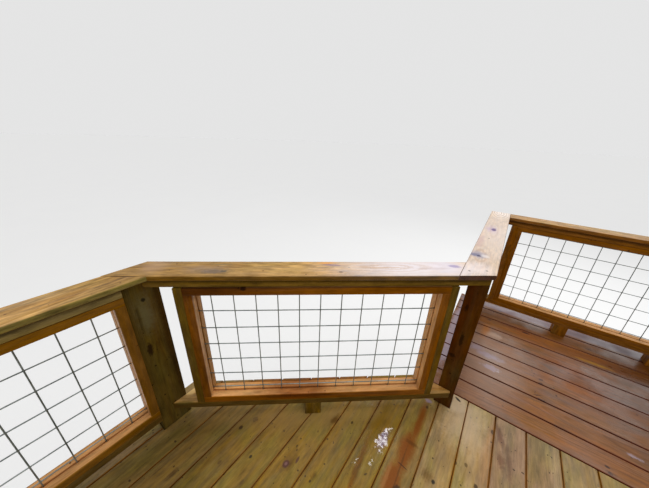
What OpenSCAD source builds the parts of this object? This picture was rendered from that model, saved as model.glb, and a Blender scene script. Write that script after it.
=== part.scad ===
// Raised timber deck of a tree house, with guard rails of welded wire panels.
// Plan: X runs along the straight front rail, Y runs out towards that rail, Z is up from the ground.
// The left front corner of the deck steps back, and a diagonal rail closes the step.

/* [Deck] */
// Height of the walking surface above the ground
deck_height = 2400; // [1500:50:3600]
// Width of one deck board
board_w = 140; // [120:1:150]
// Thickness of one deck board
board_t = 25; // [22:1:38]
// Gap between neighbouring deck boards
board_gap = 5; // [3:0.5:8]
// Number of boards across the main deck, which run front to back
main_boards = 35; // [30:1:40]
// Length of the main boards
main_len = 2600; // [2300:50:3200]
// Number of boards across the outer strip, which run left to right
strip_boards = 9; // [8:1:11]

/* [Plan of the rails] */
// Distance from the deck edge to the outer edge of a straight cap rail
setback = 50; // [44:1:70]
// Distance from the deck edge to the outer edge of the diagonal cap rail
diagonal_setback = 102; // [90:1:130]
// Width of the step in the left front corner
step_w = 1183; // [1000:1:1400]
// Length of the short side rail, from the front rail to the diagonal rail
side_run = 1300; // [1150:10:1500]
// Angle of the diagonal rail, from the front rail
bend = 40; // [34:1:44]

/* [Rails] */
// Height of the guard rail above the deck
guard_h = 914; // [900:1:1100]
// Width of the flat cap
cap_w = 140; // [130:1:150]
// Thickness of the flat cap
cap_t = 25; // [22:1:38]
// Rounding of the long edges of the cap
cap_round = 6; // [2:1:10]
// Thickness of the sawn stock of rails, studs and frames
stock_t = 38; // [32:1:45]
// Width of the sawn stock, and side of a square rail post
stock_w = 89; // [80:1:100]
// Side of the corner post along the left rail
corner_post_w = 140; // [120:1:160]
// Pitch of the welded wires
wire_pitch = 101.6; // [95:0.1:110]
// Thickness of one wire
wire_d = 5; // [4:0.5:6]
// Height of the lowest wire above the frame's opening
wire_low = 25; // [15:1:40]
// Width of the groove in the frame that takes the wire
groove_w = 10; // [9:0.5:14]
// Depth of that groove
groove_d = 12; // [8:1:18]

/* [Trunk opening] */
// Number of whole boards to the left of the opening
trunk_first_board = 2; // [2:1:4]
// Radius that the cut boards are scribed to
trunk_r = 250; // [225:5:255]
// Distance from the left end of the diagonal rail back to the centre of the opening
trunk_back = 567; // [540:1:620]

/* [Frame below the deck] */
// Depth of a joist
joist_d = 184; // [140:1:235]
// Spacing of the joist rows, laid back from the joist under the seam
joist_step = 427; // [400:1:460]
// Number of joist rows behind the trunk opening
rear_rows = 1; // [1:1:3]
// Number of joists under the outer strip
strip_joists = 9; // [8:1:12]
// Depth of a beam
beam_d = 235; // [184:1:286]
// Side of a ground post
ground_post_w = 140; // [120:1:160]
// Distance from the deck edge to the centre of an end ground post
ground_post_in = 350; // [300:10:600]
// Reach of a knee brace along its beam
brace_reach = 700; // [500:10:900]

/* [Hidden] */

// Colours of the timbers
cedar = "#a8713f";
pine = "#8c7648";
deck_tan = "#b08a55";
deck_red = "#8a5a48";
cap_tan = "#c9ab7c";
frame_brown = "#6e5840";

// Extent of the deck, centred on the origin
pitch = board_w + board_gap;
deck_w = main_boards * pitch - board_gap;
strip_w = strip_boards * pitch - board_gap;
deck_l = strip_w + board_gap + main_len;
x_left = -deck_w / 2;
x_right = deck_w / 2;
y_back = -deck_l / 2;
y_front = deck_l / 2;
y_main = y_back + main_len;

// Outer lines of the caps, and the two ends of the diagonal
ax = x_left + setback;
cx = ax + step_w;
ex = x_right - setback;
dy = y_front - setback;
cap_back = y_back + setback;
bc = [cx, dy - side_run];
ab = [ax, bc.y - step_w * tan(bend)];
diagonal_len = step_w / cos(bend);

// Heights
deck_z = deck_height;
joist_top = deck_z - board_t;
joist_z = joist_top - joist_d;
beam_z = joist_z - beam_d;
cap_z = deck_z + guard_h - cap_t;
top_rail_z = cap_z - stock_t;
bottom_rail_z = deck_z + stock_w;
panel_z = bottom_rail_z + stock_t;
panel_h = top_rail_z - panel_z;

// Framing in plan: the rim is two joists thick and touches the outer face of the rail posts
rim_t = 2 * stock_t;
post_out = 38;
post_in = post_out + stock_w;
overhang = setback + post_out - rim_t;
rim_in = setback + post_out;
diagonal_frame_in = 137;
diagonal_frame_out = diagonal_frame_in - stock_w;
far = 3 * deck_w;
notch_gap = 3;

// Corner post: its outer face stands nearer the cap's outer line than the rails do
corner_post_out = 16;
corner_post_back = 86;
corner_post_c = [ax + corner_post_out + stock_w / 2, ab.y - corner_post_back];
corner_post_face = ax + corner_post_out + stock_w;

// Centres of the square rail posts
inner_post_back = 27.5;
inner_post_c = [cx + post_out + stock_w / 2, bc.y - inner_post_back];
left_x = ax + post_out + stock_w / 2;
front_y = dy - post_out - stock_w / 2;
right_x = ex - post_out - stock_w / 2;
end_y = y_back + rim_in + stock_w / 2;
front_bay = (right_x - inner_post_c.x) / 2;
right_bay = (front_y - end_y) / 2;
post_places = [inner_post_c, [inner_post_c.x, front_y], [inner_post_c.x + front_bay, front_y], [right_x, front_y],
    [right_x, front_y - right_bay], [right_x, end_y], [left_x, end_y]];

// Bays of wire panel: start on the cap's outer line, direction, length, inner face of the frame, has end studs
panel_gap = 46;
diagonal_gap_left = 153;
diagonal_gap_right = 93;
side_clear = front_y - inner_post_c.y - stock_w;
left_clear = corner_post_c.y - corner_post_w / 2 - end_y - stock_w / 2;
bay_edge = stock_w / 2 + panel_gap;
left_bays = [[[ax, end_y + stock_w / 2], 90, left_clear, post_in, false]];
diagonal_bays = [[ab + diagonal_gap_left * [cos(bend), sin(bend)], bend,
    diagonal_len - diagonal_gap_left - diagonal_gap_right, diagonal_frame_in, true]];
side_bays = [[[cx, inner_post_c.y + bay_edge], 90, side_clear - 2 * panel_gap, post_in, true]];
front_bays = [for (i = [0:1]) [[inner_post_c.x + i * front_bay + bay_edge, dy], 0, front_bay - 2 * bay_edge, post_in, true]];
right_bays = [for (i = [0:1]) [[ex, front_y - i * right_bay - bay_edge], -90, right_bay - 2 * bay_edge, post_in, true]];
all_bays = concat(left_bays, diagonal_bays, side_bays, front_bays, right_bays);
long_bay = 1400;
short_block_at = 0.48;

// Trunk opening
trunk_cut_boards = 3;
trunk_x = x_left + (trunk_first_board + trunk_cut_boards / 2) * pitch - board_gap / 2;
trunk_y = ab.y - trunk_back;
trunk_half_w = trunk_cut_boards * pitch / 2 + board_gap / 2;

// Joists and beams: rows are counted back from the seam, and those that meet the trunk opening are cut
seam_y = inner_post_c.y + stock_w / 2;
row_start = seam_y + stock_t;
function row_y(i) = row_start - i * joist_step;
row_before_trunk = floor((row_start - trunk_y - trunk_r - stock_t / 2) / joist_step);
row_behind_trunk = ceil((row_start - trunk_y + trunk_r + 2 * stock_t) / joist_step);
rear_space = row_y(row_behind_trunk) - y_back - rim_in;
header_x = [trunk_x - trunk_half_w - stock_t, trunk_x + trunk_half_w];
beam_in = 230;
beam_x = [corner_post_face + stock_t, cx + beam_in, (cx + ex) / 2, ex - beam_in];
left_beam_reach = 90;
left_post_back = 130;

// Y in plan, at X, of the line that lies a distance out from the diagonal cap's outer edge
function diagonal_y(x, out) = ab.y + (x - ax) * tan(bend) + out / cos(bend);

// Outline of the deck in plan
outline = [[x_left, y_back], [x_left, diagonal_y(x_left, diagonal_setback)],
    [cx - setback, diagonal_y(cx - setback, diagonal_setback)], [cx - setback, y_front],
    [x_right, y_front], [x_right, y_back]];

// Space inside the rim joists in plan
rim_out_diagonal = diagonal_setback - overhang;
rim_in_diagonal = rim_out_diagonal - rim_t;
inside = [[x_left + rim_in, y_back + rim_in], [x_left + rim_in, diagonal_y(x_left + rim_in, rim_in_diagonal)],
    [cx - setback + rim_in, diagonal_y(cx - setback + rim_in, rim_in_diagonal)],
    [cx - setback + rim_in, y_front - rim_in], [x_right - rim_in, y_front - rim_in], [x_right - rim_in, y_back + rim_in]];

// Holes that the rail posts need in the boards
module post_notches() {
    for (p = post_places) translate(p) square(stock_w + 2 * notch_gap, center = true);
    translate(corner_post_c) square([stock_w + 2 * notch_gap, corner_post_w + 2 * notch_gap], center = true);
}

// Boards first to last of the main deck, cut to the outline, the posts and the trunk
module main_deck(first, last, from = y_back, to = y_main) {
    translate([0, 0, joist_top]) for (i = [first:last]) linear_extrude(board_t) difference() {
        intersection() {
            translate([x_left + i * pitch, from]) square([board_w, to - from]);
            polygon(outline);
        }
        post_notches();
        if (i >= trunk_first_board && i < trunk_first_board + trunk_cut_boards)
            translate([trunk_x, trunk_y]) circle(trunk_r, $fn = 96);
    }
}

trunk_last_board = trunk_first_board + trunk_cut_boards - 1;
module main_boards_left() { color(deck_tan) main_deck(0, trunk_first_board - 1); }
module trunk_boards_front() { color(deck_tan) main_deck(trunk_first_board, trunk_last_board, from = trunk_y); }
module trunk_boards_rear() { color(deck_tan) main_deck(trunk_first_board, trunk_last_board, to = trunk_y); }
module main_boards_right() { color(deck_tan) main_deck(trunk_last_board + 1, main_boards - 1); }

module strip_boards_outer() {
    color(deck_red) translate([0, 0, joist_top]) for (i = [0:strip_boards - 1]) linear_extrude(board_t) difference() {
        intersection() {
            translate([x_left, y_front - i * pitch - board_w]) square([deck_w, board_w]);
            polygon(outline);
        }
        post_notches();
    }
}

// One flat plan shape raised to the depth of the joists
module joist_layer() { translate([0, 0, joist_z]) linear_extrude(joist_d) children(); }

// Everything on the inner side of a line beside the diagonal rail
module inside_diagonal(out) { translate(ab) rotate(bend) translate([-far, out - 2 * far]) square(2 * far); }

module corner_post_plan() { translate(corner_post_c) square([stock_w, corner_post_w], center = true); }
module rail_post_plans() { for (p = post_places) translate(p) square(stock_w, center = true); }

module left_rim() {
    color(frame_brown) joist_layer() difference() {
        intersection() {
            translate([x_left + overhang, y_back + rim_in]) square([rim_t, deck_l]);
            inside_diagonal(rim_in_diagonal);
        }
        corner_post_plan();
        rail_post_plans();
    }
}

module diagonal_rim() {
    color(frame_brown) joist_layer() intersection() {
        difference() {
            inside_diagonal(rim_out_diagonal);
            inside_diagonal(rim_in_diagonal);
        }
        translate([x_left + overhang, y_back]) square([cx - setback + rim_in - x_left - overhang, deck_l]);
    }
}

module side_rim() {
    color(frame_brown) joist_layer() difference() {
        translate([cx - setback + overhang, bc.y - stock_w])
            square([rim_t, y_front - rim_in - bc.y + stock_w]);
        inside_diagonal(rim_out_diagonal);
    }
}

module front_rim() {
    color(frame_brown) joist_layer()
        translate([cx - setback + overhang, y_front - rim_in]) square([x_right - cx + setback - 2 * overhang, rim_t]);
}

module right_rim() {
    color(frame_brown) joist_layer()
        translate([x_right - rim_in, y_back + rim_in]) square([rim_t, deck_l - 2 * rim_in]);
}

module back_rim() {
    color(frame_brown) joist_layer()
        translate([x_left + overhang, y_back + overhang]) square([deck_w - 2 * overhang, rim_t]);
}

module seam_joist() {
    color(frame_brown) joist_layer()
        translate([cx - setback + rim_in, seam_y]) square([x_right - rim_in - cx + setback - rim_in, rim_t]);
}

module strip_joists_row() {
    run_x = x_right - rim_in - inner_post_c.x - stock_w / 2 - stock_w;
    color(frame_brown) joist_layer() for (i = [0:strip_joists - 1]) difference() {
        translate([inner_post_c.x + stock_w / 2 + i * (run_x - stock_t) / (strip_joists - 1), seam_y + rim_t])
            square([stock_t, y_front - rim_in - seam_y - rim_t]);
        rail_post_plans();
    }
}

// One row of joist across the main deck, as a plan shape that stops at the rims
module joist_row(y) {
    difference() {
        intersection() {
            translate([x_left, y - stock_t / 2]) square([deck_w, stock_t]);
            polygon(inside);
        }
        rail_post_plans();
        corner_post_plan();
    }
}

module front_joists() { color(frame_brown) joist_layer() for (i = [1:row_before_trunk]) joist_row(row_y(i)); }

module rear_joists() {
    color(frame_brown) joist_layer() for (i = [0:rear_rows - 1])
        joist_row(row_y(row_behind_trunk) - i * rear_space / rear_rows);
}

module cut_joist() {
    color(frame_brown) joist_layer() for (i = [row_before_trunk + 1:row_behind_trunk - 1]) difference() {
        joist_row(row_y(i));
        translate([header_x[0], row_y(i) - stock_t]) square([header_x[1] + stock_t - header_x[0], 2 * stock_t]);
    }
}

module trunk_headers() {
    header_start = row_y(row_behind_trunk) + stock_t / 2;
    header_end = row_y(row_before_trunk) - stock_t / 2;
    color(frame_brown) joist_layer() for (x = header_x)
        translate([x, header_start]) square([stock_t, header_end - header_start]);
}

module trunk_trimmer() {
    color(frame_brown) joist_layer() translate([header_x[0] + stock_t, trunk_y - trunk_r - stock_t - stock_t / 2])
        square([2 * trunk_half_w, stock_t]);
}

module beams() {
    color(frame_brown) translate([0, 0, beam_z]) linear_extrude(beam_d) {
        translate([beam_x[0] - rim_t / 2, y_back + overhang])
            square([rim_t, ab.y + left_beam_reach - y_back - overhang]);
        for (i = [1:3]) translate([beam_x[i] - rim_t / 2, y_back + overhang]) square([rim_t, deck_l - 2 * overhang]);
    }
}

// Centres of the ground posts: two under each beam
ground_places = concat([[beam_x[0], ab.y - left_post_back], [beam_x[0], y_back + ground_post_in]],
    [for (i = [1:3], y = [y_front - ground_post_in, y_back + ground_post_in]) [beam_x[i], y]]);

module ground_posts() {
    color(frame_brown) for (p = ground_places) translate(p)
        linear_extrude(beam_z) square(ground_post_w, center = true);
}

// Knee brace at 45 degrees, from the face of a post at y = 0 to the beam above it
module knee_brace() {
    cut = stock_w * sqrt(2);
    translate([-stock_w / 2, 0, beam_z]) rotate([90, 0, 90]) linear_extrude(stock_w)
        polygon([[0, -brace_reach], [brace_reach, 0], [brace_reach - cut, 0], [0, cut - brace_reach]]);
}

module knee_braces() {
    half = ground_post_w / 2;
    color(frame_brown) for (i = [1:3]) {
        translate([beam_x[i], y_back + ground_post_in + half]) knee_brace();
        translate([beam_x[i], y_front - ground_post_in - half]) mirror([0, 1, 0]) knee_brace();
    }
}

module corner_post() {
    color(pine) translate([0, 0, joist_z]) linear_extrude(cap_z - joist_z) corner_post_plan();
}

module rail_posts() {
    color(pine) for (p = post_places) translate([p.x, p.y, joist_z])
        linear_extrude(top_rail_z - joist_z) square(stock_w, center = true);
}

// Section of a cap: a flat board with rounded long edges, from y = -cap_w to 0
module cap_section() {
    translate([-cap_w + cap_round, 0]) square([cap_w - 2 * cap_round, cap_t]);
    translate([-cap_w, cap_round]) square([cap_w, cap_t - 2 * cap_round]);
    for (y = [-cap_w + cap_round, -cap_round], z = [cap_round, cap_t - cap_round])
        translate([y, z]) circle(cap_round, $fn = 32);
}

// A length of cap whose outer edge runs from the point at, turned by angle
module cap_run(at, angle, from, to) {
    translate([at.x, at.y, cap_z]) rotate(angle) translate([from, 0, 0])
        rotate([90, 0, 90]) linear_extrude(to - from) cap_section();
}

module cap_layer() { translate([0, 0, cap_z - cap_t]) linear_extrude(3 * cap_t) children(); }

module left_cap() {
    color(cap_tan) intersection() {
        cap_run([ax, cap_back], 90, 0, deck_l);
        cap_layer() inside_diagonal(-cap_w);
    }
}

module diagonal_cap() {
    color(cap_tan) intersection() {
        cap_run(ab, bend, -cap_w, diagonal_len + cap_w);
        cap_layer() translate([ax, y_back]) square([step_w, deck_l]);
    }
}

module side_cap() {
    color(cap_tan) difference() {
        cap_run([cx, dy - side_run], 90, -2 * cap_w, side_run);
        cap_layer() inside_diagonal(-cap_w);
    }
}

module front_cap() { color(cap_tan) cap_run([cx, dy], 0, cap_w, ex - cx - cap_w); }
module right_cap() { color(cap_tan) cap_run([ex, dy], -90, 0, dy - cap_back); }

// Places its children in the frame of one bay: x along the bay, y outwards, z up from the deck
module in_bay(bay) { translate([bay[0].x, bay[0].y, deck_z]) rotate(bay[1]) translate([0, -bay[3], 0]) children(); }

// A plan shape raised to the depth of the top rails, which lie flat below the caps
module top_rail_layer() { translate([0, 0, top_rail_z]) linear_extrude(stock_t) children(); }

module left_top_rail() {
    color(pine) top_rail_layer() translate([left_x - stock_w / 2, end_y - stock_w / 2])
        square([stock_w, left_clear + stock_w]);
}

// Strip of plan under the diagonal cap, between the faces of the corner post and the inner post
module diagonal_strip(out, in) {
    intersection() {
        difference() {
            inside_diagonal(-out);
            inside_diagonal(-in);
        }
        children();
    }
}

module diagonal_top_rail() {
    color(pine) top_rail_layer() diagonal_strip(post_out, post_in)
        translate([corner_post_face, y_back]) square([inner_post_c.x + stock_w / 2 - corner_post_face, deck_l]);
}

module side_top_rail() {
    color(pine) top_rail_layer() difference() {
        translate([cx + post_out, bc.y - stock_w]) square([stock_w, side_run - post_out + stock_w]);
        inside_diagonal(-post_out);
    }
}

module front_top_rail() {
    color(pine) top_rail_layer() translate([cx + post_in, dy - post_in]) square([ex - cx - 2 * post_in, stock_w]);
}

module right_top_rail() {
    color(pine) top_rail_layer()
        translate([ex - post_in, end_y - stock_w / 2]) square([stock_w, dy - post_out - end_y + stock_w / 2]);
}

// Bottom rail of one straight bay, from post to post
module bottom_rail(bay, reach) {
    in_bay(bay) translate([-reach, 0, stock_w]) cube([bay[2] + 2 * reach, stock_w, stock_t]);
}

module left_bottom_rail() { color(pine) bottom_rail(left_bays[0], 0); }
module side_bottom_rail() { color(pine) bottom_rail(side_bays[0], panel_gap); }
module front_bottom_rail() { color(cedar) for (b = front_bays) bottom_rail(b, panel_gap); }
module right_bottom_rail() { color(cedar) for (b = right_bays) bottom_rail(b, panel_gap); }

module diagonal_bottom_rail() {
    color(pine) translate([0, 0, bottom_rail_z]) linear_extrude(stock_t)
        diagonal_strip(diagonal_frame_out, diagonal_frame_in)
            translate([corner_post_face, y_back]) square([step_w, inner_post_c.y - stock_w / 2 - y_back]);
}

// Places of the blocks under a bottom rail: two in a long bay, one a little left of the middle in a short one
function block_spots(len) = len > long_bay ? [len / 3, 2 * len / 3] : [short_block_at * len];

module rail_blocks() {
    color(pine) for (b = all_bays, x = block_spots(b[2]))
        in_bay(b) translate([x - stock_w / 2, 0, 0]) cube(stock_w);
}

module rail_studs() {
    color(pine) for (b = all_bays) if (b[4]) for (x = [0, b[2] - stock_t])
        translate([0, 0, stock_w + stock_t]) in_bay(b) translate([x, 0, 0]) cube([stock_t, stock_w, panel_h]);
}

// Frame of one panel with its grooved inner faces, and the welded wire that the groove holds
module wire_panel(bay) {
    edge = bay[4] ? stock_t : 0;
    w = bay[2] - 2 * edge;
    open_w = w - 2 * stock_t;
    open_h = panel_h - 2 * stock_t;
    bite = groove_d + 1;
    lap = wire_d * 0.3;
    upright = floor(open_w / wire_pitch);
    level = floor((open_h - wire_low) / wire_pitch) + 1;
    in_bay(bay) translate([edge, 0, stock_w + stock_t]) {
        difference() {
            cube([w, stock_w, panel_h]);
            translate([stock_t, -1, stock_t]) cube([open_w, stock_w + 2, open_h]);
            translate([stock_t - groove_d, (stock_w - groove_w) / 2, stock_t - groove_d])
                cube([open_w + 2 * groove_d, groove_w, open_h + 2 * groove_d]);
        }
        for (i = [0:upright - 1])
            translate([w / 2 + (i - (upright - 1) / 2) * wire_pitch - wire_d / 2, stock_w / 2 - wire_d / 2 - lap, stock_t - bite])
                cube([wire_d, wire_d, open_h + 2 * bite]);
        for (i = [0:level - 1])
            translate([stock_t - bite, stock_w / 2 - wire_d / 2 + lap, stock_t + wire_low + i * wire_pitch - wire_d / 2])
                cube([open_w + 2 * bite, wire_d, wire_d]);
    }
}

module left_panel() { color(cedar) wire_panel(left_bays[0]); }
module diagonal_panel() { color(cedar) wire_panel(diagonal_bays[0]); }
module side_panel() { color(cedar) wire_panel(side_bays[0]); }
module front_panels() { color(cedar) for (b = front_bays) wire_panel(b); }
module right_panels() { color(cedar) for (b = right_bays) wire_panel(b); }

main_boards_left();
trunk_boards_front();
trunk_boards_rear();
main_boards_right();
strip_boards_outer();
left_rim();
diagonal_rim();
side_rim();
front_rim();
right_rim();
back_rim();
seam_joist();
strip_joists_row();
front_joists();
rear_joists();
cut_joist();
trunk_headers();
trunk_trimmer();
beams();
ground_posts();
knee_braces();
corner_post();
rail_posts();
left_cap();
diagonal_cap();
side_cap();
front_cap();
right_cap();
left_top_rail();
diagonal_top_rail();
side_top_rail();
front_top_rail();
right_top_rail();
left_bottom_rail();
diagonal_bottom_rail();
side_bottom_rail();
front_bottom_rail();
right_bottom_rail();
rail_blocks();
rail_studs();
left_panel();
diagonal_panel();
side_panel();
front_panels();
right_panels();
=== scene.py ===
import logging
import math
import random
from dataclasses import dataclass, field, replace
from enum import Enum
from functools import cache, partial, reduce
from itertools import groupby
from typing import Any, Callable

import bmesh
import bpy
from mathutils import Matrix, Vector
from mathutils.bvhtree import BVHTree


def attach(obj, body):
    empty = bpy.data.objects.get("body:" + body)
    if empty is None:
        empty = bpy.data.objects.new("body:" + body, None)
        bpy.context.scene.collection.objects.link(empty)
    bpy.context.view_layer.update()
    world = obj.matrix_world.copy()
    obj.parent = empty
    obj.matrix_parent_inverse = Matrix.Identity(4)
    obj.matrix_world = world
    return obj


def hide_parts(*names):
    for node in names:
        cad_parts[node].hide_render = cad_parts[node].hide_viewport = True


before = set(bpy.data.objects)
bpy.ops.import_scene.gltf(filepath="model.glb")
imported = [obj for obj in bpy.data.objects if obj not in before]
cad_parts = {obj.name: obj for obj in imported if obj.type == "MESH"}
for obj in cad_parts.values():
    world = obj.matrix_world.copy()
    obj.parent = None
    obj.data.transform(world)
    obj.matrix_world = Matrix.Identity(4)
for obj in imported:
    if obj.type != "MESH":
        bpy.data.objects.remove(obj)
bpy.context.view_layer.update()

REPORT = logging.getLogger("deck")
UP = Vector((0.0, 0.0, 1.0))
DOWN = Vector((0.0, 0.0, -1.0))
# Corners closer than this, in metres, are one, and faces within this angle, in radians, are one side.
SAME_SPOT = 2e-5
SAME_SIDE = 0.003
# Edges turned by more than this, in radians, are eased.
SHARP = 0.6
# A ray looks for a board from this far above its top, over this length, in metres.
RAY_START = 0.05
RAY_LENGTH = 0.055
# The front rail's timbers lie past this Y, and the inner post stands at this X behind this Y, in metres.
FRONT_LINE = 1.2
INNER_POST_X = -1.22
INNER_POST_BACK = 0.6

# A list that a piece fills while it is built.
gathered = partial(field, default_factory=list, init=False)
Colour = tuple[float, float, float, float]
Point = tuple[float, float, float]
Tone = tuple[float, float]
Socket = bpy.types.NodeSocket
Value = Socket | float


def srgb(text: str) -> Colour:
    """Turns a written colour such as 8a5a48 into the linear values that shaders take.

    Args:
        text: six hexadecimal digits.

    Returns:
        Red, green and blue, and an alpha of one.
    """
    parts = [int(text[i : i + 2], 16) / 255 for i in (0, 2, 4)]
    linear = [c / 12.92 if c <= 0.04045 else ((c + 0.055) / 1.055) ** 2.4 for c in parts]
    return (linear[0], linear[1], linear[2], 1.0)


class Slot(Enum):
    """The record's material slots."""

    MAIN_DECK = "main_deck_pine"
    OUTER_DECK = "outer_deck_pine"
    CAP = "cap_pine"
    RAIL = "rail_pine"
    PANEL = "panel_cedar"
    FRAME = "frame_pine"


class Heart(Enum):
    """Where the pith of the tree lies in a sawn timber."""

    OUTSIDE = "outside"
    INSIDE = "inside"


class Wiring:
    """Adds the nodes of one node tree and joins them."""

    def __init__(self, tree: bpy.types.NodeTree) -> None:
        """Keeps the tree that the nodes go into."""
        self.tree = tree

    def add(self, kind: str, feeds: dict[str | int, Any] | None = None, **settings: Any) -> bpy.types.Node:
        """Adds a node.

        Args:
            kind: the node's type name.
            feeds: a socket or a plain value for each input, by name or number.
            settings: the node's own properties.

        Returns:
            The new node.
        """
        node = self.tree.nodes.new(kind)
        for key, value in settings.items():
            setattr(node, key, value)
        for key, value in (feeds or {}).items():
            if isinstance(value, Socket):
                self.tree.links.new(value, node.inputs[key])
            else:
                node.inputs[key].default_value = value
        return node

    def place(self, group: bpy.types.NodeTree, feeds: dict[str, Any]) -> Any:
        """Places a node group with its own values and returns its outputs."""
        return self.add("ShaderNodeGroup", feeds, node_tree=group).outputs

    def math(self, operation: str, *values: Value) -> Socket:
        """Adds a Math node and returns its result."""
        return self.add("ShaderNodeMath", dict(enumerate(values)), operation=operation).outputs[0]

    def vector(self, operation: str, *values: Any) -> Socket:
        """Adds a Vector Math node and returns its vector."""
        return self.add("ShaderNodeVectorMath", dict(enumerate(values)), operation=operation).outputs[0]

    def plus(self, *values: Value) -> Socket:
        """Adds values up."""
        return reduce(partial(self.math, "ADD"), values)

    def times(self, *values: Value) -> Socket:
        """Multiplies values."""
        return reduce(partial(self.math, "MULTIPLY"), values)

    def line(self, value: Value, slope: Value, base: Value) -> Socket:
        """Multiplies a value by a slope and adds a base."""
        return self.math("MULTIPLY_ADD", value, slope, base)

    def minus(self, value: Value, other: Value) -> Socket:
        """Takes one value from another."""
        return self.math("SUBTRACT", value, other)

    def swing(self, value: Socket, scale: Value) -> Socket:
        """Turns a value about one half into one about zero, times a scale."""
        return self.times(self.minus(value, 0.5), scale)

    def squares(self, first: Socket, second: Socket) -> Socket:
        """Adds up the squares of two values."""
        return self.plus(self.times(first, first), self.times(second, second))

    def smooth(self, value: Socket, start: Value, end: float, low: float = 0.0, high: float = 1.0) -> Socket:
        """Eases a value, so that it is low below start and high above end."""
        feeds = {"Value": value, "From Min": start, "From Max": end, "To Min": low, "To Max": high}
        return self.add("ShaderNodeMapRange", feeds, interpolation_type="SMOOTHSTEP").outputs[0]

    def blend(self, share: Value, first: Any, second: Any, how: str = "MIX") -> Socket:
        """Blends two colours by a share and returns the result."""
        feeds = {0: share, 6: first, 7: second}
        return self.add("ShaderNodeMix", feeds, data_type="RGBA", blend_type=how).outputs[2]

    def noise(
        self,
        vector: Socket,
        along: float,
        across: float | None = None,
        shift: float = 0.0,
        detail: float = 2.0,
        roughness: float = 0.5,
    ) -> Socket:
        """Adds a noise about one half.

        Args:
            vector: where it is read.
            along: its bumps to a metre along the first axis.
            across: its bumps to a metre along the others, or None for as many.
            shift: a move, so that two noises differ.
            detail: how many finer layers it has.
            roughness: how strong those are.

        Returns:
            Its value.
        """
        wide = along if across is None else across
        spot = self.vector("MULTIPLY_ADD", vector, (along, wide, wide), (shift, shift, shift))
        feeds = {"Vector": spot, "Scale": 1.0, "Detail": detail, "Roughness": roughness}
        return self.add("ShaderNodeTexNoise", feeds, noise_dimensions="3D").outputs[0]

    def here(self) -> Socket:
        """Reads the place of the point that is shaded, in metres."""
        return self.add("ShaderNodeTexCoord").outputs["Object"]

    def attribute(self, name: str) -> Socket:
        """Reads a vector that is stored on the mesh."""
        return self.add("ShaderNodeAttribute", attribute_name=name).outputs["Vector"]

    def split(self, vector: Socket) -> tuple[Socket, Socket, Socket]:
        """Parts a vector into its three values."""
        return tuple(self.add("ShaderNodeSeparateXYZ", {0: vector}).outputs)


class GroupMaker(Wiring):
    """A shader node group under construction."""

    def __init__(self, name: str, takes: dict[str, Any], gives: dict[str, str]) -> None:
        """Makes the group's sockets.

        Args:
            name: the group's name.
            takes: a starting value for each input, a number, a vector or a colour.
            gives: the socket type of each output, Float or Color.
        """
        super().__init__(bpy.data.node_groups.new(name, "ShaderNodeTree"))
        for key, value in takes.items():
            kind = "Float" if isinstance(value, (int, float)) else ("Color" if len(value) == 4 else "Vector")
            made = self.tree.interface.new_socket(name=key, in_out="INPUT", socket_type="NodeSocket" + kind)
            made.default_value = value
        for key, kind in gives.items():
            self.tree.interface.new_socket(name=key, in_out="OUTPUT", socket_type="NodeSocket" + kind)
        self.taken = self.tree.nodes.new("NodeGroupInput").outputs
        self.given = self.tree.nodes.new("NodeGroupOutput").inputs

    def give(self, values: dict[str, Socket]) -> bpy.types.NodeTree:
        """Puts the results out of the group.

        Args:
            values: a result for each output.

        Returns:
            The group's tree.
        """
        for name, value in values.items():
            self.tree.links.new(value, self.given[name])
        return self.tree


class MaterialMaker(Wiring):
    """A material under construction."""

    def __init__(self, name: str) -> None:
        """Makes an empty material.

        Args:
            name: the material's name.
        """
        self.made = bpy.data.materials.new(name)
        self.made.use_nodes = True
        super().__init__(self.made.node_tree)
        self.tree.nodes.clear()

    def finish(self, feeds: dict[str, Any]) -> bpy.types.Material:
        """Ends the material in a surface shader.

        Args:
            feeds: a socket or a plain value for each of the shader's inputs.

        Returns:
            The finished material.
        """
        surface = self.add("ShaderNodeBsdfPrincipled", feeds)
        self.add("ShaderNodeOutputMaterial", {0: surface.outputs[0]})
        return self.made


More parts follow.
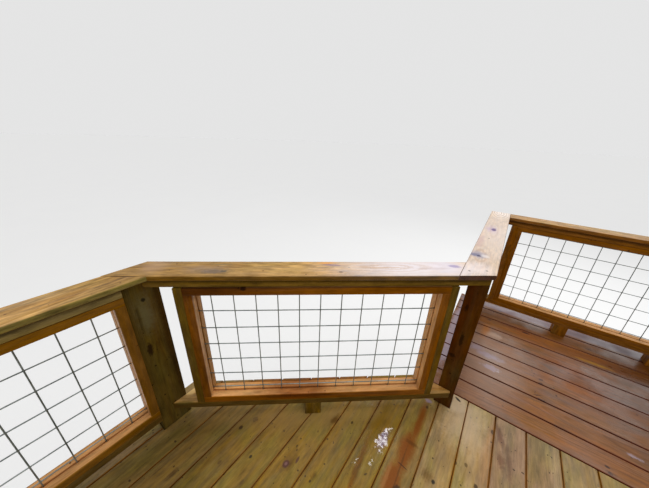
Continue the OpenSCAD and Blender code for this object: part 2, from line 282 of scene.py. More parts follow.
@cache
def knot_group() -> bpy.types.NodeTree:
    """Knots where branches ran out from the pith, as cells of length and turn around it.

    Returns:
        A group that gives the knots, their dark rims, their hearts, the darker wood round them and how far
        they push the rings out.
    """
    g = GroupMaker(
        "branch_knots",
        {"Cell length": 0.3, "Cell turn": 0.6, "Share": 0.4, "Radius": 0.014, "Shift": 0.0},
        dict.fromkeys(("Knot", "Rim", "Core", "Halo", "Swell"), "Float"),
    )
    taken = g.taken
    grain = g.attribute("grain")
    u, v, w = g.split(grain)
    odd = g.split(g.attribute("tone"))[2]
    reach = g.math("SQRT", g.squares(v, w))
    shift = g.line(odd, 53.0, taken["Shift"])
    cell_u = g.plus(g.math("DIVIDE", u, taken["Cell length"]), shift)
    cell_t = g.plus(g.math("DIVIDE", g.math("ARCTAN2", v, w), taken["Cell turn"]), shift)
    cell = g.add("ShaderNodeCombineXYZ", {0: cell_u, 1: cell_t}).outputs[0]
    feeds = {"Vector": cell, "Scale": 1.0, "Randomness": 0.9}
    cells = g.add("ShaderNodeTexVoronoi", feeds, voronoi_dimensions="2D").outputs
    centre_u, centre_t, _ = g.split(cells["Position"])
    chance = g.add("ShaderNodeSeparateColor", {0: cells["Color"]}).outputs
    du = g.times(g.minus(cell_u, centre_u), taken["Cell length"])
    dt = g.times(g.minus(cell_t, centre_t), g.times(taken["Cell turn"], reach))
    has = g.math("LESS_THAN", chance[0], taken["Share"])
    size = g.times(g.line(chance[1], 0.65, 0.35), taken["Radius"])
    radius = g.line(size, has, 0.00002)
    across = g.math("DIVIDE", dt, radius)
    along = g.math("DIVIDE", g.times(du, 0.82), radius)
    ragged = g.line(g.noise(grain, 110.0, roughness=0.6), 1.1, 0.45)
    far = g.times(g.math("SQRT", g.squares(across, along)), ragged)
    fall = g.squares(g.math("DIVIDE", along, 3.0), g.math("DIVIDE", across, 1.7))
    return g.give({
        "Knot": g.smooth(far, 0.7, 1.2, 1.0, 0.0),
        "Halo": g.smooth(far, 0.9, 2.8, 1.0, 0.0),
        "Rim": g.times(g.smooth(far, 0.7, 0.95), g.smooth(far, 1.0, 1.35, 1.0, 0.0)),
        "Core": g.smooth(far, 0.1, 0.6, 1.0, 0.0),
        "Swell": g.times(radius, g.math("EXPONENT", g.times(fall, -1.0))),
    })


TINTS = ("Pale", "Ring", "Warm", "Grey", "Knot", "Moss", "Narrow")
AMOUNTS = (
    "Ring width", "Ring depth", "Wander", "Streak depth", "Board shift", "Board warmth", "Warm share",
    "Grey share", "Moss share", "Speck share", "Narrow share", "Narrow from", "Edge dirt", "Knot share",
    "Knot size", "Pin share", "Damp", "Dry roughness", "Wet roughness",
)


@cache
def timber_group() -> bpy.types.NodeTree:
    """Sawn softwood as a solid: rings round the pith, knots, streaks, stains, fibres, end grain and damp.

    Returns:
        A group that gives the wood's colour, roughness, film of water and height, and where its broad
        faces are.
    """
    g = GroupMaker(
        "sawn_timber",
        dict.fromkeys(TINTS, (0.5, 0.4, 0.2, 1.0)) | dict.fromkeys(AMOUNTS, 0.5),
        {"Colour": "Color", "Roughness": "Float", "Film": "Float", "Height": "Float", "Broad": "Float"},
    )
    taken = g.taken
    grain = g.attribute("grain")
    _, v, w = g.split(grain)
    light, warm, odd = g.split(g.attribute("tone"))
    side = g.math("ABSOLUTE", g.split(g.attribute("place"))[1])
    end, worn, _ = g.split(g.attribute("faces"))
    feeds = {"Cell length": 0.33, "Cell turn": 0.5, "Share": taken["Knot share"], "Radius": taken["Knot size"]}
    knots = g.place(knot_group(), feeds)
    feeds = {"Cell length": 0.1, "Cell turn": 0.24, "Share": taken["Pin share"], "Radius": 0.0042, "Shift": 7.3}
    pins = g.place(knot_group(), feeds)
    # Rings round the pith, pushed out by the knots.
    reach = g.math("SQRT", g.squares(v, w))
    wander = g.swing(g.noise(grain, 0.9, 4.0), taken["Wander"])
    ripple = g.swing(g.noise(grain, 6.0, 26.0), 0.004)
    swell = g.plus(g.times(knots["Swell"], 1.3), pins["Swell"])
    rings = g.minus(g.plus(reach, g.plus(wander, ripple)), swell)
    count = g.math("DIVIDE", rings, g.times(taken["Ring width"], g.line(odd, 0.7, 0.65)))
    part = g.math("FRACT", count)
    number = g.plus(g.math("FLOOR", count), g.times(odd, 91.0))
    each = g.add("ShaderNodeTexWhiteNoise", {"W": number}, noise_dimensions="1D").outputs[0]
    late = g.times(g.smooth(part, 0.3, 0.9), g.smooth(part, 0.93, 1.0, 1.0, 0.0), g.line(each, 0.6, 0.4))
    # Streaks, clouds, stains and specks along the grain.
    streak = g.noise(grain, 1.2, 36.0, detail=3.0, roughness=0.6)
    hair = g.noise(grain, 14.0, 420.0, roughness=0.6)
    band = g.noise(grain, 11.0, 56.0, 29.0, 4.0, 0.65)
    cloud = g.noise(grain, 2.2, 7.0, 11.0)
    warm_part = g.smooth(g.noise(grain, 0.8, 12.0, 5.0), 0.5, 0.72)
    grey_part = g.smooth(g.noise(grain, 3.5, 12.0, 23.0, 3.0, 0.6), 0.53, 0.75)
    moss_part = g.smooth(g.noise(grain, 4.0, 9.0, 37.0, 3.0, 0.55), 0.42, 0.68)
    fleck = g.smooth(g.noise(grain, 60.0, 150.0, 3.0, 1.0), 0.66, 0.76)
    speck_part = g.times(fleck, g.smooth(g.noise(grain, 5.0, 9.0, 61.0), 0.42, 0.66))
    colour = g.blend(g.times(late, taken["Ring depth"]), taken["Pale"], taken["Ring"])
    warmth = g.plus(g.times(warm_part, taken["Warm share"]), g.times(warm, taken["Board warmth"]))
    colour = g.blend(g.math("MINIMUM", warmth, 1.0), colour, taken["Warm"])
    colour = g.blend(g.times(grey_part, taken["Grey share"]), colour, taken["Grey"])
    colour = g.blend(g.times(moss_part, taken["Moss share"]), colour, taken["Moss"])
    # The narrow faces and the ends have a colour of their own. On the caps it is partly painted shade on their edges
    # and ends. Where Narrow from lies inside an edge, as on the panel frames, it paints a shadow line along the broad
    # face.
    past = g.minus(side, taken["Narrow from"])
    narrow = g.times(g.math("MAXIMUM", g.smooth(past, 0.0, 0.035), end), taken["Narrow share"])
    colour = g.blend(narrow, colour, g.blend(g.times(late, 0.12), taken["Narrow"], taken["Ring"]))
    # Light and dark: the board's own, the streaks, damp, darkening towards the long edges (partly grime and partly
    # painted shade along the gaps), end grain and worn edges.
    shade = g.plus(
        g.swing(light, g.times(taken["Board shift"], 2.0)),
        g.swing(streak, g.times(taken["Streak depth"], 0.9)),
        g.swing(hair, 0.25),
        g.swing(band, g.times(taken["Streak depth"], 4.2)),
        g.swing(cloud, 0.6),
    )
    damp = g.times(g.smooth(g.noise(g.here(), 2.3, detail=3.0, roughness=0.6), 0.4, 0.62), taken["Damp"])
    # Painted shade, with some grime: the board darkens towards its long edges, where it meets the gaps.
    dirt_and_shade = g.times(g.smooth(side, 0.86, 1.0), taken["Edge dirt"])
    value = g.times(
        g.plus(shade, 1.0),
        g.line(damp, -0.28, 1.0),
        g.minus(1.0, dirt_and_shade),
        g.line(end, -0.35, 1.0),
        g.line(worn, 0.12, 1.0),
    )
    feeds = {"Color": colour, "Hue": 0.5, "Saturation": g.line(streak, 0.3, 0.85), "Value": value}
    colour = g.add("ShaderNodeHueSaturation", feeds).outputs[0]
    darker = g.blend(1.0, colour, (0.45, 0.3, 0.22, 1.0), "MULTIPLY")
    colour = g.blend(g.times(knots["Halo"], 0.35), colour, darker)
    colour = g.blend(g.times(speck_part, taken["Speck share"]), colour, taken["Knot"])
    knot_part = g.math("MAXIMUM", g.times(knots["Knot"], 0.6), g.times(pins["Knot"], 0.8))
    colour = g.blend(knot_part, colour, taken["Knot"])
    dark_part = g.math("MAXIMUM", g.times(knots["Rim"], 0.75), g.times(knots["Core"], 0.45))
    colour = g.blend(dark_part, colour, g.blend(1.0, taken["Knot"], (0.4, 0.3, 0.3, 1.0), "MULTIPLY"))
    feeds = {0: damp, 2: taken["Dry roughness"], 3: taken["Wet roughness"]}
    rough = g.add("ShaderNodeMix", feeds, data_type="FLOAT").outputs[0]
    broad = g.minus(1.0, narrow)
    height = g.plus(g.times(late, 0.35), g.times(hair, 0.5), g.times(streak, 0.6))
    return g.give({
        "Colour": colour,
        "Roughness": g.plus(rough, g.swing(streak, 0.2)),
        "Film": g.times(damp, broad),
        "Broad": broad,
        "Height": g.minus(height, g.times(knots["Rim"], 0.5)),
    })


@cache
def mark_group() -> bpy.types.NodeTree:
    """A ragged oval at a known place.

    Returns:
        A group that gives the oval as a mask.
    """
    g = GroupMaker(
        "ragged_mark",
        {"At": (0.0, 0.0, 0.0), "Half": (0.1, 0.02, 100.0)}
        | {"Turn": 0.0, "Wave": 0.5, "Ragged": 0.5, "Soft": 0.4, "Rings": 0.0},
        {"Mask": "Float"},
    )
    taken = g.taken
    spot = g.here()
    off = g.vector("SUBTRACT", spot, taken["At"])
    feeds = {"Vector": off, "Angle": g.times(taken["Turn"], -1.0)}
    turned = g.add("ShaderNodeVectorRotate", feeds, rotation_type="Z_AXIS").outputs[0]
    scaled = g.vector("DIVIDE", turned, taken["Half"])
    far = g.add("ShaderNodeVectorMath", {0: scaled}, operation="LENGTH").outputs["Value"]
    coarse = g.minus(taken["Wave"], 0.5)
    fine = g.minus(g.noise(spot, 90.0, roughness=0.6), 0.5)
    far = g.plus(far, g.times(g.line(fine, 0.5, coarse), g.times(taken["Ragged"], 3.0)))
    near = g.smooth(far, g.minus(1.0, taken["Soft"]), 1.0, 1.0, 0.0)
    wave = g.math("COSINE", g.times(far, g.times(taken["Rings"], 2.0 * math.pi)))
    lines = g.math("POWER", g.line(wave, 0.5, 0.5), 2.0)
    return g.give({"Mask": g.times(near, lines)})


@dataclass(frozen=True)
class Mark:
    """A knot, stain or pale patch at a known place.

    Args:
        at: its middle in plan, in metres, and its height where that matters.
        half: half its length and half its width, in metres, and half its height where that matters.
        turn: the direction of its length, in degrees from X.
        strength: how much it shows.
        ragged: how uneven its outline is.
        soft: how far its edge fades in.
        colour: what it turns the wood into, or what it filters the wood's colour by.
        stain: True if it filters the wood's colour, so the grain shows through.
        rings: how many ring lines it holds, or 0 for a plain mark.
    """

    at: tuple[float, ...]
    half: tuple[float, ...]
    turn: float
    strength: float = 0.8
    ragged: float = 0.3
    soft: float = 0.5
    colour: str = "000000"
    stain: bool = False
    rings: float = 0.0

    @property
    def bumps(self) -> float:
        """How many bumps to a metre its outline has, in steps of three times."""
        return 3.0 ** round(math.log(1.3 / math.sqrt(self.half[0] * self.half[1]), 3))

    def mask(self, wiring: Wiring, waves: dict[float, Socket]) -> Socket:
        """Gives how far the mark shows.

        Args:
            wiring: the material's own node tree.
            waves: the noises that make outlines uneven, by their bumps to a metre.

        Returns:
            Its mask times its strength.
        """
        feeds = {
            "At": (*self.at, 0.0)[:3],
            "Half": (*self.half, 1000.0)[:3],
            "Turn": math.radians(self.turn),
            "Wave": waves[self.bumps],
            "Ragged": self.ragged,
            "Soft": self.soft,
            "Rings": self.rings,
        }
        return wiring.times(wiring.place(mark_group(), feeds)["Mask"], self.strength)


def painted(colour: str, *rows: tuple[Any, ...], stain: bool = False, rings: float = 0.0) -> tuple[Mark, ...]:
    """Makes marks of one colour from their other values, each row's from at to soft."""
    return tuple(Mark(*row, colour=colour, stain=stain, rings=rings) for row in rows)


stained = partial(painted, stain=True)


@dataclass(frozen=True)
class WoodFinish:
    """How one kind of timber looks. Most fields feed the timber group's input of the same name."""

    name: str
    slot: Slot
    pale: str
    ring: str
    warm: str
    grey: str
    knot: str
    moss: str
    narrow: str
    ring_width: float = 0.005
    ring_depth: float = 0.6
    wander: float = 0.03
    streak_depth: float = 0.35
    board_shift: float = 0.15
    board_warmth: float = 0.5
    warm_share: float = 0.3
    grey_share: float = 0.3
    moss_share: float = 0.3
    speck_share: float = 0.5
    narrow_share: float = 0.0
    narrow_from: float = 0.93
    # Darkening towards a board's long edges: partly grime, partly painted shade along the gaps.
    edge_dirt: float = 0.28
    knot_share: float = 0.5
    knot_size: float = 0.016
    pin_share: float = 0.35
    damp: float = 0.5
    dry_roughness: float = 0.55
    wet_roughness: float = 0.22
    film: float = 0.5
    gloss: float = 0.12
    film_roughness: float = 0.12
    film_ior: float = 1.33
    marks: tuple[Mark, ...] = ()
    marked_edges: bool = True
    puddles: tuple[Mark, ...] = ()

    @cache
    def material(self) -> bpy.types.Material:
        """Joins the timber group, the marks and the surface shader, once.

        Returns:
            The material.
        """
        maker = MaterialMaker(f"{self.name}_wood")
        feeds: dict[str, Any] = {name: getattr(self, name.lower().replace(" ", "_")) for name in TINTS + AMOUNTS}
        wood = maker.place(timber_group(), feeds | {name: srgb(feeds[name]) for name in TINTS})
        colour, spot = wood["Colour"], maker.here()
        rates = sorted({mark.bumps for mark in self.marks + self.puddles})
        waves = {rate: maker.noise(spot, rate, None, 7.0, 3.0, 0.65) for rate in rates}
        for (hue, stain), alike in groupby(self.marks, key=lambda mark: (mark.colour, mark.stain)):
            share = reduce(partial(maker.math, "MAXIMUM"), [mark.mask(maker, waves) for mark in alike])
            if not self.marked_edges:
                share = maker.times(share, wood["Broad"])
            colour = maker.blend(share, colour, srgb(hue), "MULTIPLY" if stain else "MIX")
        film = maker.times(wood["Film"], self.film)
        if self.puddles:
            flecks = maker.smooth(maker.noise(spot, 48.0, detail=4.0, roughness=0.7), 0.46, 0.54)
            for puddle in self.puddles:
                film = maker.math("MAXIMUM", film, maker.times(puddle.mask(maker, waves), flecks))
        bump = maker.add("ShaderNodeBump", {"Height": wood["Height"], "Strength": 0.6, "Distance": 0.0012})
        return maker.finish({
            "Base Color": colour,
            "Roughness": wood["Roughness"],
            "IOR": 1.45,
            "Specular IOR Level": self.gloss,
            "Coat Weight": film,
            "Coat Roughness": self.film_roughness,
            "Coat IOR": self.film_ior,
            "Normal": bump.outputs[0],
        })


@dataclass(frozen=True)
class SpeckledFinish:
    """How a finely speckled surface looks, such as galvanised wire, a screw, or the dark litter that also paints shade
    into the deck's gaps.
    """

    name: str
    pale: str
    dark: str
    metallic: float
    roughness: float

    @cache
    def material(self) -> bpy.types.Material:
        """Joins two noises and the surface shader, once.

        Returns:
            The material.
        """
        maker = MaterialMaker(f"{self.name}_surface")
        spot = maker.here()
        spangle = maker.noise(spot, 160.0, detail=3.0, roughness=0.6)
        share = maker.smooth(maker.line(maker.noise(spot, 14.0), 0.7, maker.times(spangle, 0.3)), 0.35, 0.65)
        bump = maker.add("ShaderNodeBump", {"Height": spangle, "Strength": 0.3, "Distance": 0.0003})
        return maker.finish({
            "Base Color": maker.blend(share, srgb(self.pale), srgb(self.dark)),
            "Metallic": self.metallic,
            "Roughness": maker.line(spangle, 0.3, self.roughness - 0.15),
            "Normal": bump.outputs[0],
        })


DECK_MARKS = (
    # Painted shade: darkens the left end of the main deck.
    *stained("d0cbaa", ((-2.2, -0.65), (0.3, 0.75), 0, 0.95, 0.15, 0.8)),
    # Painted light: pales the main deck along the diagonal rail's inner side, where the rail casts its shade.
    *painted("caa264", ((-1.78, 0), (0.85, 0.1), 40, 0.35, 0.2, 0.9)),
    # Painted light: pales the boards by the inner post's foot, where the post and the side rail shade them.
    *painted("e6ccaa",
        ((-1.08, 0.5), (0.26, 0.16), 90, 0.45, 0.25, 0.8), ((-1.14, 0.58), (0.12, 0.09), 90, 0.6, 0.2, 0.7),
    ),
    *stained("f4e6ee", ((-0.84, 0.35), (0.6, 0.17), 90, 0.9, 0.1, 0.3)),
    *stained("e0dc8c", ((-1.475, 0.13), (0.32, 0.055), 86, 0.9, 0.2, 0.8)),
    *stained("e4b828", ((-1.47, -0.06), (0.24, 0.02), 96, 0.85, 0.3, 0.8)),
    *painted("864808",
        ((-1.292, 0.33), (0.24, 0.03), 90.5, 0.95, 0.25, 0.75), ((-1.304, 0.13), (0.24, 0.05), 91, 0.97, 0.3, 0.75),
        ((-1.312, -0.03), (0.21, 0.058), 91, 0.97, 0.3, 0.75),
    ),
    *painted("a87038", ((-1.34, -0.03), (0.12, 0.012), 91, 0.6, 0.3, 0.7)),
    *painted("583404",
        ((-1.29, 0.2), (0.016, 0.055), 92, 0.6, 0.35, 0.7), ((-1.3, 0.06), (0.2, 0.005), 92, 0.6, 0.4, 0.6),
    ),
    # The second lilac mark is a painted sky reflection at the wet patch.
    *painted("9c8cb0",
        ((-1.29, 0.5), (0.02, 0.03), 90, 0.55, 0.3, 0.8), ((-1.421, 0.125), (0.075, 0.028), 88, 0.5, 0.5, 0.6),
    ),
    *painted("7a5c34", ((-1.753, -0.267), (0.1, 0.055), 90, 0.4, 0.12, 0.9), rings=3),
    *stained("f0b878", ((-1.926, 0.145), (0.66, 0.06), 40, 0.95, 0.06, 0.2)),
    *stained("b8a680",
        ((-1.74, -0.25), (0.09, 0.05), 95, 0.7, 0.3, 1), ((-2.146, -0.618), (0.05, 0.018), 90, 0.9, 0.4, 0.9),
        ((-1.684, 0.052), (0.05, 0.024), 85, 1, 0.35, 0.8), ((-1.617, -0.223), (0.03, 0.016), 90, 0.8, 0.35, 0.9),
        ((-1.185, 0.11), (0.05, 0.04), 90, 0.8, 0.4, 1),
    ),
    *stained("baa29e",
        ((-0.917, 0.54), (0.1, 0.022), 108, 0.85, 0.25, 0.8), ((-0.9, 0.4), (0.06, 0.026), 95, 0.8, 0.4, 0.8),
        ((-0.868, 0.41), (0.14, 0.02), 96, 0.7, 0.3, 0.9),
    ),
    *painted("502c2e",
        ((-1.753, -0.267), (0.024, 0.019), 90, 0.8, 0.12, 0.45), ((-1.719, -0.222), (0.022, 0.008), 100, 0.75, 0.15),
    ),
    *painted("86605a", ((-1.753, -0.267), (0.011, 0.009), 90, 0.8, 0.1, 0.6)),
    *painted("5c4420",
        ((-2.079, -0.357), (0.013, 0.007), 80, 0.75, 0.15), ((-1.863, -0.441), (0.015, 0.01), 90, 0.6, 0.2),
        ((-2.014, -0.458), (0.014, 0.009), 80, 0.75, 0.2), ((-1.719, -0.055), (0.008, 0.006), 90, 0.7, 0.2),
        ((-1.083, 0.247), (0.012, 0.007), 90, 0.8, 0.2), ((-1.041, 0.269), (0.014, 0.009), 100, 0.75, 0.25),
    ),
    *painted("3a2612",
        ((-2.065, -0.295), (0.015, 0.013), 90, 0.85, 0.15), ((-1.283, 0.452), (0.014, 0.01), 90, 0.7, 0.2),
        ((-1.28, -0.03), (0.02, 0.022), 90, 0.8, 0.2), ((-1.293, 0.072), (0.031, 0.0032), -8, 0.85, 0.05, 0.3),
        ((-1.762, -0.177), (0.01, 0.006), 100, 0.75, 0.2), ((-1.75, -0.191), (0.008, 0.006), 90, 0.65, 0.2),
        ((-1.617, -0.249), (0.008, 0.006), 90, 0.8, 0.2), ((-1.596, 0.099), (0.012, 0.008), 90, 0.8, 0.2),
        ((-1.423, -0.068), (0.012, 0.005), 60, 0.8, 0.2), ((-0.989, 0.2), (0.016, 0.01), 90, 0.85, 0.2),
    ),
    *painted("1c1814",
        ((-1.913, -0.352), (0.012, 0.009), 90, 0.85, 0.15), ((-1.143, 0.622), (0.022, 0.009), 150, 0.92, 0.2, 0.3),
        ((-1.154, 0.098), (0.013, 0.011), 90, 0.9, 0.15),
    ),
)
PUDDLES = (
    *painted("dccce4",
        ((-1.421, 0.12), (0.066, 0.024), 88, 0.85, 0.8, 0.15), ((-1.413, 0.21), (0.04, 0.013), 88, 0.6, 0.6, 0.3),
        ((-1.489, -0.049), (0.02, 0.009), 60, 0.9, 0.6, 0.2), ((-1.424, -0.01), (0.018, 0.01), 80, 0.5, 0.8, 0.4),
    ),
)
STRIP_MARKS = (
    # Painted sky reflection: a lilac-grey band along the outermost board, under the front rail.
    *painted("847884", ((-0.3, 1.89), (1.3, 0.07), 0, 0.7, 0.1, 0.4)),
    *stained("bcb8b8", ((0.1, 1.89), (1.1, 0.07), 0, 0.9, 0, 0.9)),
    *painted("b89c8c", ((-1.05, 1.1), (0.32, 0.75), 0, 0.45, 0.15, 0.9)),
    # Painted sky reflection: a lilac band along the strip's edge by the side rail.
    *painted("b8aec0", ((-1.3, 1.33), (0.06, 0.75), 0, 0.6, 0.3, 0.7)),
    *stained("b8b0ac", ((0.25, 1.3), (0.9, 1.4), 0, 0.95, 0.1, 0.7)),
    *stained("ffe678", ((-0.6, 1.59), (0.7, 0.07), 0, 0.8, 0.15)),
    *stained("dcd8b0", ((-0.65, 1.74), (0.75, 0.07), 0, 0.8, 0.1, 0.8)),
    *stained("f8e2d6", ((-0.5, 1.3), (0.4, 0.28), 0, 0.9, 0.1, 0.8)),
    *painted("c8a488", ((-1.02, 1.43), (0.12, 0.05), 0, 0.5, 0.3, 0.9)),
    *painted("b46c18", ((-1.08, 1.46), (0.18, 0.045), 86, 0.6, 0.35, 0.9)),
    *painted("a294a4",
        ((-1.12, 1.19), (0.07, 0.06), 0, 0.55, 0.35, 0.8), ((-1.03, 1.15), (0.13, 0.045), 0, 0.6, 0.35, 0.8),
    ),
    *painted("b4a4b0",
        ((-1, 1.03), (0.07, 0.03), 0, 0.6, 0.6, 0.6), ((-0.343, 0.845), (0.05, 0.016), 0, 0.45, 0.7, 0.9),
    ),
    *painted("543c28",
        ((-0.806, 1.395), (0.055, 0.018), -12, 0.8, 0.4, 0.8), ((-0.678, 1.3), (0.08, 0.02), -25, 0.75, 0.4, 0.8),
        ((-0.246, 1.457), (0.08, 0.03), 0, 0.75, 0.4, 0.8),
    ),
    *painted("a87a0c", ((-0.4, 1.556), (0.15, 0.022), 0, 0.6, 0.3, 0.8)),
    *painted("74440e", ((-0.7, 1.7), (0.4, 0.03), 0, 0.5, 0.3, 0.8)),
    *painted("3a1a0a", ((-0.801, 1.635), (0.034, 0.014), 0, 0.9, 0.2)),
    *stained("d0a070", ((-0.86, 1.66), (0.2, 0.05), 0, 0.6, 0.4, 0.9)),
    *painted("2c1810",
        ((-0.741, 0.971), (0.035, 0.004), 30, 0.85, 0.1), ((-0.466, 0.697), (0.012, 0.01), 0, 0.85, 0.2),
    ),
    *painted("c0b0ac", ((-0.959, 1.022), (0.012, 0.008), 0, 0.6, 0.2)),
)
CAP_MARKS = (
    # Painted shade: darkens the caps round the left corner.
    *stained("cfcdc4", ((-2.35, -0.3), (0.62, 0.4), 45, 0.95, 0.1, 0.9)),
    # Painted glare: these patches stand for the sky's reflection, which whitens the diagonal cap's right end and the
    # side cap.
    *painted("f4ecf0", ((-1.51, 0.35), (0.54, 0.25), 40, 0.92, 0.12, 1)),
    *painted("f0ecfa", ((-1.36, 0.48), (0.14, 0.14), 40, 0.6, 0.12, 0.9)),
    *painted("e6d6cc", ((-1.23, 1.2), (1.1, 0.3), 90, 0.85, 0.1, 1)),
    *painted("b89474", ((-2.41, -0.39), (0.09, 0.09), 40, 0.6, 0.2, 0.9)),
    *painted("9c8470", ((-2.22, -0.27), (0.15, 0.05), 40, 0.6, 0.3, 0.9)),
    *painted("76665a", ((-2.17, -0.255), (0.08, 0.026), 40, 0.85, 0.3, 0.7)),
    *painted("7c6640", ((-2.17, -0.25), (0.22, 0.06), 40, 0.55, 0.12, 0.9), rings=3),
    *painted("5c5648", ((-2.14, -0.228), (0.02, 0.012), 40, 0.8, 0.25, 0.6)),
    *painted("8c7852", ((-2.2, -0.195), (0.07, 0.007), 46, 0.7, 0.3, 0.6)),
    *painted("9c7c54", ((-2.33, -0.33), (0.13, 0.012), 38, 0.5, 0.4, 0.7)),
    *painted("eca860", ((-1.84, 0.13), (0.06, 0.016), 40, 0.75, 0.25, 0.7)),
    *painted("c89c68", ((-1.6, 0.27), (0.12, 0.007), 40, 0.6, 0.35, 0.6)),
    *painted("3a2414",
        ((-2.15, -0.3), (0.02, 0.008), 40, 0.85, 0.2), ((-2.415, -0.5142), (0.1, 0.006), 40, 0.75, 0.1, 0.6),
    ),
    # Painted glare: near-white patches on the side cap's far end and by its near end.
    *painted("fff6f0", ((-1.23, 1.87), (0.32, 0.12), 90, 0.8, 0.1, 0.9)),
    *painted("fff2f2", ((-1.25, 0.56), (0.12, 0.1), 90, 0.5, 0.1, 0.9)),
    *painted("8a7490", ((-1.805, 0.132), (0.07, 0.011), 36, 0.75, 0.3, 0.7)),
    *painted("a090bc", ((-1.34, 0.506), (0.04, 0.02), 30, 0.75, 0.35, 0.7)),
    *painted("d8c8c8", ((-1.42, 0.41), (0.12, 0.016), 40, 0.6, 0.4, 0.8)),
    *painted("b8a0c0", ((-1.252, 1.3), (0.13, 0.05), 96, 0.55, 0.3, 0.8)),
    *painted("54447c", ((-1.238, 1.3), (0.05, 0.02), 90, 0.85, 0.25, 0.6)),
    *painted("c8a0a0", ((-1.285, 1), (0.22, 0.03), 92, 0.45, 0.35, 0.9)),
    *painted("ac8868", ((-1.245, 1.87), (0.3, 0.085), 94, 0.6, 0.06, 0.6), rings=5),
    *painted("b89478",
        ((-1.235, 1.3), (0.5, 0.07), 92, 0.25, 0.08, 0.9), ((-1.255, 0.74), (0.26, 0.075), 94, 0.5, 0.08, 0.9), rings=3,
    ),
    *painted("b88c58", ((-1.6, 0.28), (0.4, 0.09), 40, 0.4, 0.1, 0.9), rings=4),
    *painted("a49cac", ((-1.27, 0.745), (0.06, 0.075), 20, 0.75, 0.3, 0.7)),
    *painted("70708c", ((-1.275, 0.735), (0.045, 0.03), 20, 0.75, 0.35, 0.7)),
    *painted("fff6ee", ((-1.235, 0.745), (0.03, 0.03), 20, 0.5, 0.3, 0.8)),
    *painted("38304c", ((-1.262, 0.728), (0.014, 0.012), 60, 0.85, 0.2)),
    *painted("5c483c",
        ((-1.273, 0.503), (0.007, 0.006), 0, 0.9, 0), ((-1.206, 0.557), (0.007, 0.006), 0, 0.9, 0),
        ((-1.247, 1.075), (0.009, 0.006), 90, 0.75, 0.2), ((-1.737, 0.1), (0.012, 0.007), 40, 0.75, 0.2),
    ),
)
CORNER_MARKS = (
    *stained("b08e70", ((-2.38, -0.42, 2.9), (0.02, 0.026, 0.7), 0, 0.85, 0.15, 0.8)),
    *painted("787250", ((-2.38, -0.485, 3.12), (0.02, 0.05, 0.16), 0, 0.65, 0.3, 0.9)),
    *painted("20180c", ((-2.38, -0.479, 3.193), (0.02, 0.011, 0.013), 0, 0.9, 0.15)),
    *painted("2e1c0a", ((-2.38, -0.505, 2.93), (0.02, 0.016, 0.05), 0, 0.95, 0.3, 0.6)),
    *stained("8a7a5c", ((-2.38, -0.51, 3.1), (0.02, 0.01, 0.12), 0, 0.6, 0.3, 0.8)),
)
RAIL_MARKS = (
    # Painted shade: a dark band on the rails just under the cap's overhang.
    *painted("1c1206", ((0, 0, 3.289), (9, 9, 0.026), 0, 0.5)),
    # Painted shade: darkens the diagonal rail's left end by the corner.
    *stained("c0c0a4", ((-2.34, -0.3, 3.27), (0.22, 0.1, 0.1), 40, 0.9, 0.1, 0.8)),
    *stained("f0f0e0", ((-1.88, 0.08, 3.27), (0.5, 0.1, 0.1), 40, 0.9, 0.1, 0.8)),
)
POST_MARKS = (
    *painted("140800", ((-1.22, 0.53, 2.9), (0.012, 0.03, 0.06), 0, 0.7, 0.35, 0.6)),
    *painted("201004", ((-1.24, 0.53, 2.78), (0.02, 0.03, 0.02), 0, 0.7, 0.35, 0.6)),
    *painted("281404", ((-1.24, 0.53, 3.1), (0.012, 0.03, 0.03), 0, 0.7, 0.35, 0.6)),
    *painted("7c5410", ((-1.25, 0.53, 2.6), (0.03, 0.03, 0.15), 0, 0.5, 0.3, 0.9)),
)
LOW_RAIL_MARKS = (
    *painted("dcb878", ((-2.385, -0.385, 2.527), (0.05, 0.035, 0.02), 40, 0.85, 0.15, 0.4)),
    *painted("6e5c28", ((-2.335, -0.44, 2.527), (0.06, 0.018, 0.02), 40, 0.7, 0.2, 0.6)),
)
PANEL_MARKS = (
    *painted("2a1204", ((0, 0, 3.251), (9, 9, 0.004), 0, 0.6, 0.3, 0.6)),
    # Painted shade: these three darken the diagonal frame's left stile and the left of its top member, by the corner.
    *stained("d8cca0", ((-2.32, -0.26, 2.9), (0.11, 0.11, 0.5), 40, 0.95, 0, 0.2)),
    *stained("ccc4a8", ((-2.25, -0.2, 3.24), (0.35, 0.14, 0.08), 40, 0.9, 0.05, 0.8)),
    *stained("a0948c", ((-2.2, -0.33, 3.24), (0.5, 0.08, 0.08), 40, 0.9, 0.05, 0.9)),
    *stained("b89a80", ((-1.9, -0.02, 2.56), (0.3, 0.14, 0.05), 40, 0.9, 0.15, 0.8)),
    *stained("d0d0d8", ((-0.1, 1.9, 2.55), (0.6, 0.1, 0.06), 0, 0.9, 0.1, 0.9)),
    *painted("240c04", ((-2.048, -0.203, 3.247), (0.016, 0.05, 0.012), 40, 0.9, 0.15)),
)

